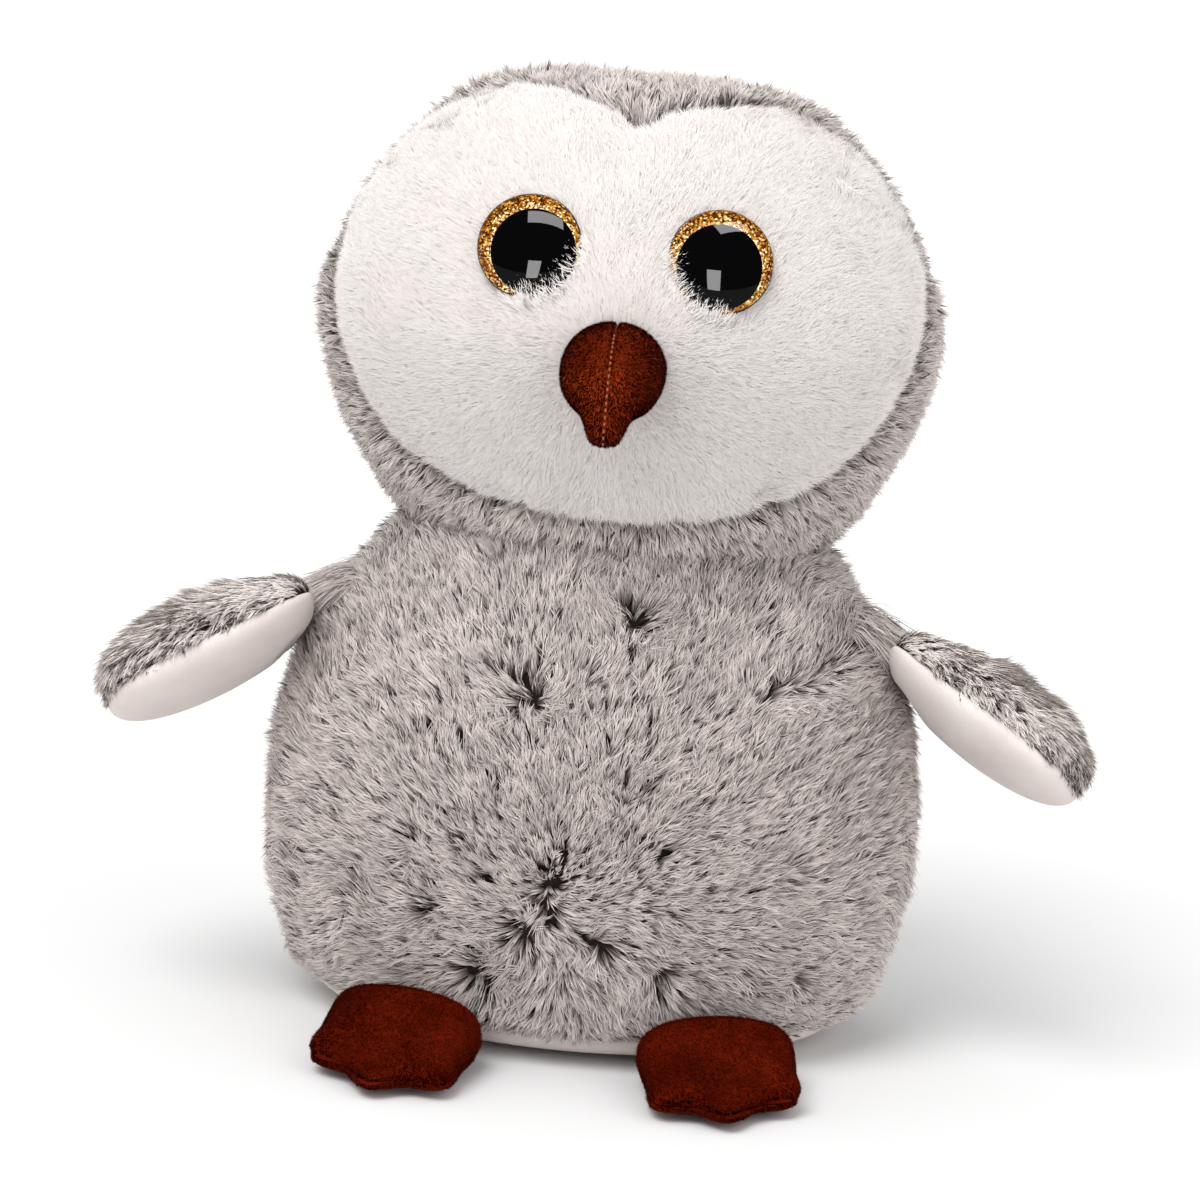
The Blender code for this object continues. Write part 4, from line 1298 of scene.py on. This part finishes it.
# %% Beak
BEAK_RING_SHARES = ((0.00, 0.98), (0.22, 1.00), (0.42, 0.96), (0.60, 0.75), (0.74, 0.48), (0.88, 0.36), (0.97, 0.30))
BEAK_HALF_WIDTH = 0.0205
BEAK_HALF_HEIGHT = 0.0180
BEAK_REACH = 0.032
BEAK_DROP = 0.027
BEAK_ROOT = 0.012
STITCH_PITCH = 0.0027


def beak_point(across, rise, t):
    """A place on the beak's bent axis, t from root to tip, moved across and up from it."""
    start = Vector((0, beak_spot.y + BEAK_ROOT, beak_spot.z))
    elbow = Vector((0, beak_spot.y - BEAK_REACH, beak_spot.z))
    tip = elbow - Vector((0, 0, BEAK_DROP))
    centre = start.lerp(elbow, t).lerp(elbow.lerp(tip, t), t)
    along = (elbow - start).lerp(tip - elbow, t).normalized()
    return centre + Vector((across, 0, 0)) + Vector((1, 0, 0)).cross(along) * rise


beak_reach = ((-BEAK_HALF_WIDTH, -BEAK_HALF_HEIGHT, 0), (BEAK_HALF_WIDTH, BEAK_HALF_HEIGHT, 1))
beak_form = ring_form(BEAK_RING_SHARES, 16, *beak_reach, levels=2)
ridge = sorted((v.co.z, v.co.y) for v in beak_form.verts if abs(v.co.x) < 1e-5 and v.co.y < 0)
for v in beak_form.verts:
    dip = math.exp(-((v.co.x / 0.0016) ** 2)) * 0.0009 * min(1, (1 - v.co.z) * 4)
    length = math.hypot(v.co.x, v.co.y) or 1
    v.co = beak_point(v.co.x * (1 - dip / length), v.co.y * (1 - dip / length), v.co.z)
if beak_form.calc_volume(signed=True) < 0:
    bmesh.ops.reverse_faces(beak_form, faces=beak_form.faces[:])
beak_form.normal_update()
behind_face = ((0, beak_spot.y + 0.004, 0), (0, 1, 0))
for side_name, side in SIDES:
    own_half = ((side * SEAM_GAP / 2, 0, 0), (-side, 0, 0))
    name = f"beak_{side_name}"
    half = panel(name, beak_form, [own_half, behind_face], beak_velvet, cloth=0.0012)
    dress(half, "head", "beak_felt", f"beak_{side_name}_panel")
filling("beak_filling", beak_form, [behind_face], 0.9, "head", "beak_stuffing")

# %% Beak stitches
ridge_t = np.array([t for t, _ in ridge])
ridge_rise = np.array([rise for _, rise in ridge])
line = [beak_point(0, float(np.interp(t, ridge_t, ridge_rise)), t) for t in np.linspace(0.30, 0.97, 200)]
walked = np.cumsum([0] + [(b - a).length for a, b in zip(line, line[1:])])
thread = bmesh.new()
for place in np.arange(0.002, walked[-1], STITCH_PITCH):
    index = min(int(np.searchsorted(walked, place)), len(line) - 2)
    along = (line[index + 1] - line[index]).normalized()
    up = Vector((1, 0, 0)).cross(along)
    turn = Matrix((Vector((1, 0, 0)), along, Vector((1, 0, 0)).cross(along))).transposed().to_4x4()
    stretch_by = Matrix.Diagonal((0.00042, 0.00085, 0.0004, 1))
    seat = Matrix.Translation(line[index] - up * 0.0006) @ turn @ stretch_by
    bmesh.ops.create_uvsphere(thread, u_segments=8, v_segments=6, radius=1, matrix=seat)
bmesh.ops.recalc_face_normals(thread, faces=thread.faces[:])
beak_pile = nap(
    "beak_nap_fibres", beak_nap, surface_of(beak_form), 5000000, 71, (0, 0.3, -1),
    lambda p, n: (p[:, 1] < beak_spot.y + 0.004)
    & ((np.abs(p[:, 0]) > 0.0007) | (n[:, 2] < 0)),
    swirl=0.2,
)
dress(beak_pile, "head", "beak_felt")
tan_thread = plastic_look("tan_thread", srgb(166, 84, 44), 0.8)
dress(finished("beak_stitches", thread, tan_thread), "head", "beak_felt")

# %% [markdown]
# A wing is a puffed leaf: grey plush above, pale velvet below, sewn together round the edge.
# Its own axes have the span along -Y and its upper side along +Z, and its root is round about
# the shoulder seam, on which it swings.

# %% Wings
WING_LENGTH = 0.083
WING_HALF_CHORD = 0.041
WING_TOP = 0.023
WING_UNDERSIDE = 0.019
WING_ROOT_RADIUS = 0.012
WING_FLARE_SHARE = 0.38
WING_DROOP = math.radians(24)
WING_SWEEP = math.radians(28)
WING_TOP_DEPTH = 0.005
WING_PILE = 0.0130
SHOULDER_REACH = 0.046
SHOULDER_LAP = 0.008
WING_RING_SHARES = (
    (0.020, 0.44, 0.78),
    (0.090, 0.70, 0.90),
    (0.170, 0.84, 0.97),
    (0.440, 1.04, 1.05),
    (0.720, 0.98, 1.00),
    (0.910, 0.70, 0.74),
)


def rounded_root(bm, radius, flare_share):
    """Draws what lies behind the joint's axis, along X, inside a round, and flares from there."""
    for v in bm.verts:
        if v.co.y > 0:
            reach = math.hypot(v.co.y, v.co.z)
            share = min(1, radius / reach) if reach > 0 else 1
            v.co.y *= share
            v.co.z *= share
        else:
            most = radius - v.co.y * flare_share
            v.co.z = max(-most, min(most, v.co.z))


def wing_place(side_name, side):
    """The wing's own axes on its joint."""
    joint = JOINTS[f"wing_{side_name}_flap"]
    span = Vector((side, 0, 0))
    span.rotate(Matrix.Rotation(side * WING_DROOP, 3, "Y"))
    span.rotate(Matrix.Rotation(-side * WING_SWEEP, 3, "Z"))
    chord = Vector(joint["axis"]).normalized()
    if chord.cross(-span).z < 0:
        chord = -chord
    turn = Matrix((chord, -span, chord.cross(-span))).transposed().to_4x4()
    return Matrix.Translation(joint["pos_m"]) @ turn


def wing_depth(places, outward):
    top = np.clip(places[:, 2] / 0.004 + 0.5, 0, 1)
    root = np.clip(-places[:, 1] / 0.02, 0, 1)
    depth = 0.0007 + top * (WING_TOP_DEPTH - 0.0007) * (0.4 + 0.6 * root)
    return depth + near(places[:, 2], SEAM_REACH) * 0.0018 * root


def make_wing(side_name, side):
    matrix = wing_place(side_name, side)
    low = (-WING_HALF_CHORD, -WING_UNDERSIDE, -WING_ROOT_RADIUS)
    form = ring_form(WING_RING_SHARES, 8, low, (WING_HALF_CHORD, WING_TOP, WING_LENGTH))
    form.transform(Matrix(((1, 0, 0, 0), (0, 0, -1, 0), (0, 1, 0, 0), (0, 0, 0, 1))))
    rounded_root(form, WING_ROOT_RADIUS, WING_FLARE_SHARE)
    form.normal_update()
    sink(form, wing_depth)
    own_places = np.array([v.co for v in form.verts])
    form.transform(matrix)
    form.normal_update()
    top = matrix.to_3x3().col[2]
    middle = matrix.translation
    outer = panel(
        f"wing_outer_cloth_{side_name}", form, [(middle + top * SEAM_GAP / 2, -top)], grey_backing
    )
    dress(outer, f"wing_{side_name}", "grey_plush", f"wing_{side_name}_outer")
    lining = panel(
        f"wing_lining_{side_name}", form, [(middle - top * SEAM_GAP / 2, top)], pale_velvet
    )
    dress(lining, f"wing_{side_name}", "pale_lining", f"wing_{side_name}_lining")
    filling(f"wing_filling_{side_name}", form, [], 0.6, f"wing_{side_name}", f"wing_{side_name}_stuffing")
    grow_wing(side_name, side, form, matrix)
    form.free()


def grow_wing(side_name, side, form, matrix):
    rng = np.random.default_rng(80 + side)
    inverse = np.array(matrix.inverted())

    def own(places):
        return places @ inverse[:3, :3].T + inverse[:3, 3]

    surface = surface_of(form)
    places, normals = scattered(surface, 380000, rng, lambda p, n: own(p)[:, 2] > 0.0002)
    spots = own(places)
    span = -np.array(matrix.to_3x3().col[1])
    top = np.array(matrix.to_3x3().col[2])
    lay = np.tile(span, (len(places), 1))
    lay += drift(places, 0.03, 81, 3) * 0.30 + drift(places, 0.012, 82, 3) * 0.30
    edge = near(spots[:, 2], 0.0075) * np.clip(-spots[:, 1] / 0.02, 0, 1)
    lay = along_surface(lay - top * edge[:, None] * 0.7, normals)
    root = np.clip((spots[:, 1] + 0.014) / 0.014, 0, 1)
    lift = 0.40 + 0.08 * drift(places, 0.01, 84) - 0.16 * root
    length = WING_PILE * (1 + 0.14 * drift(places, 0.02, 83)) * (1 - 0.35 * edge) * (1 - 0.45 * root)
    length *= np.clip(1.60 + spots[:, 1] / WING_LENGTH, 0.80, 1)
    patches = np.clip(drift(places, 0.013, 87) * 5 - 0.4, 0, 1)
    tone, dark = tuft_tone(places, rng, 85, edge * patches)
    # Painted light: away from the dark patches along the seam every tuft is made paler, the dark tufts most.
    tone = np.where(edge * patches > 0.2, tone * np.where(dark, 0.2, 1), tone + np.where(dark, 0.45, 0.10))
    pile = fibres(
        f"wing_pile_painted_light_{side_name}", wing_pile_painted_light, places, normals, lay, length, lift, tone, rng,
        9, 0.0014, FIBRE_WIDTH,
    )
    dress(pile, f"wing_{side_name}", "grey_plush")


def grow_shoulder(side_name, side):
    """Long body pile that leans out to the wing's root, so that the shoulder is filled."""
    matrix = np.array(wing_place(side_name, side))
    rng = np.random.default_rng(90 + side)
    joint, span, top = matrix[:3, 3], -matrix[:3, 1], matrix[:3, 2]

    def from_span(places):
        beside = places - joint
        return unit(beside - np.outer(beside @ span, span))

    def round_joint(places, normals):
        close = np.linalg.norm(places - joint, axis=1) < SHOULDER_REACH
        return close & (from_span(places) @ top > -0.25)

    places, normals = scattered(body_surface, 520000, rng, round_joint)
    outward = from_span(places)
    towards = joint + outward * WING_ROOT_RADIUS + span * SHOULDER_LAP - places
    towards += drift(places, 0.010, 93, 3) * 0.004
    length = np.linalg.norm(towards, axis=1) * rng.uniform(0.35, 1.0, len(places))
    lift = (unit(towards) * normals).sum(axis=1)
    free = (lift > 0.35) & (length < 0.034)
    parts = (places, normals, outward, towards, length, lift)
    places, normals, outward, towards, length, lift = (part[free] for part in parts)
    tone, dark = tuft_tone(places, rng, 91, np.zeros(len(places)))
    # The shoulders wear the paler pile, painted light.
    pile = fibres(
        f"paler_pile_painted_light_{side_name}", paler_pile_painted_light, places, normals, towards / 0.02, length,
        lift, tone, rng, 9, 0.0014, FIBRE_WIDTH, outward=unit(outward + normals * 0.3),
    )
    dress(pile, "torso", "grey_plush")


for side_name, side in SIDES:
    make_wing(side_name, side)
    grow_shoulder(side_name, side)

# %% [markdown]
# A foot is a flat pad with three round toes, a velvet top and sole sewn together low round the
# edge. Its own axes have the toes along -Y and its root is round about the fold.

# %% Feet
FOOT_LENGTH = 0.064
FOOT_HALF_WIDTH = 0.034
FOOT_HEIGHT = 0.030
FOOT_ROOT_RADIUS = FOOT_HEIGHT / 2
FOOT_TOE_HEIGHT = 0.017
FOOT_SEAM_HEIGHT = 0.0075
FOOT_FLARE_SHARE = 0.5
FOOT_SPLAY = math.radians(8)
TOE_LOBE = 0.0115
TOE_SPREAD = math.radians(45)
TOE_WIDTH = math.radians(15)
FOOT_RING_SHARES = ((0.00, 0.84), (0.28, 1.00), (0.62, 0.98), (0.78, 0.86), (0.90, 0.66))
FOOT_DEPTH = 0.0006


def toe_share(angle):
    forward = angle + math.pi / 2
    forward = math.atan2(math.sin(forward), math.cos(forward))
    toes = (-TOE_SPREAD, 0, TOE_SPREAD)
    return sum(math.exp(-(((forward - toe) / TOE_WIDTH) ** 2)) for toe in toes)


def toe_outline(angle):
    """How far the foot's edge stands out, seen from above: three toes at its front."""
    return 1 + TOE_LOBE / FOOT_HALF_WIDTH * toe_share(angle)


def foot_depth(places, outward):
    """Nap, the edge seam, and the valleys that run back between the toes."""
    seam = near(places[:, 2] - (FOOT_SEAM_HEIGHT - FOOT_ROOT_RADIUS), 0.0016) * 0.0009
    angle = np.arctan2(places[:, 1] + 0.018, places[:, 0])
    lobes = np.array([toe_share(a) for a in angle])
    toes_only = np.clip((-places[:, 1] - 0.018) / 0.03, 0, 1) * (outward[:, 2] > -0.2)
    return FOOT_DEPTH + seam + (1 - np.clip(lobes, 0, 1)) * toes_only * 0.0036


def make_foot(side_name, side):
    joint = JOINTS[f"foot_{side_name}_fold"]
    up = Vector((0, 0, 1))
    across = Vector(joint["axis"]).normalized()
    if across.x < 0:
        across = -across
    outward = across.cross(up)
    matrix = Matrix.Translation(joint["pos_m"])
    matrix = matrix @ Matrix((across, -outward, up)).transposed().to_4x4()
    lean = math.atan2(outward.x, -outward.y) - side * FOOT_SPLAY
    low = -FOOT_ROOT_RADIUS
    high = FOOT_HEIGHT - FOOT_ROOT_RADIUS
    form = ring_form(
        FOOT_RING_SHARES, 32, (-FOOT_HALF_WIDTH, -FOOT_LENGTH, low),
        (FOOT_HALF_WIDTH, FOOT_ROOT_RADIUS, high), levels=2, outline=toe_outline,
    )
    for v in form.verts:
        forward = max(0, -v.co.y / FOOT_LENGTH)
        v.co.z -= (FOOT_HEIGHT - FOOT_TOE_HEIGHT) * forward * (v.co.z - low) / FOOT_HEIGHT
        v.co.x += min(0, v.co.y) * math.tan(lean)
    rounded_root(form, FOOT_ROOT_RADIUS, FOOT_FLARE_SHARE)
    form.normal_update()
    sink(form, foot_depth)
    form.transform(matrix)
    form.normal_update()
    seam = FOOT_SEAM_HEIGHT
    body = f"foot_{side_name}"
    top = panel(f"foot_top_velvet_{side_name}", form, [((0, 0, seam + SEAM_GAP / 2), DOWN)], rust_velvet)
    dress(top, body, "rust_felt", f"foot_{side_name}_top")
    sole = panel(f"foot_sole_velvet_{side_name}", form, [((0, 0, seam - SEAM_GAP / 2), UP)], rust_velvet)
    dress(sole, body, "rust_felt", f"foot_{side_name}_sole")
    filling(f"foot_filling_{side_name}", form, [], 0.7, body, f"foot_{side_name}_stuffing")
    velvet = nap(
        f"foot_nap_{side_name}", rust_nap, surface_of(form), 4000000, 78 + side,
        tuple(outward - up * 0.4), lambda p, n: n[:, 2] > -0.75,
    )
    dress(velvet, body, "rust_felt")
    form.free()


for side_name, side in SIDES:
    make_foot(side_name, side)
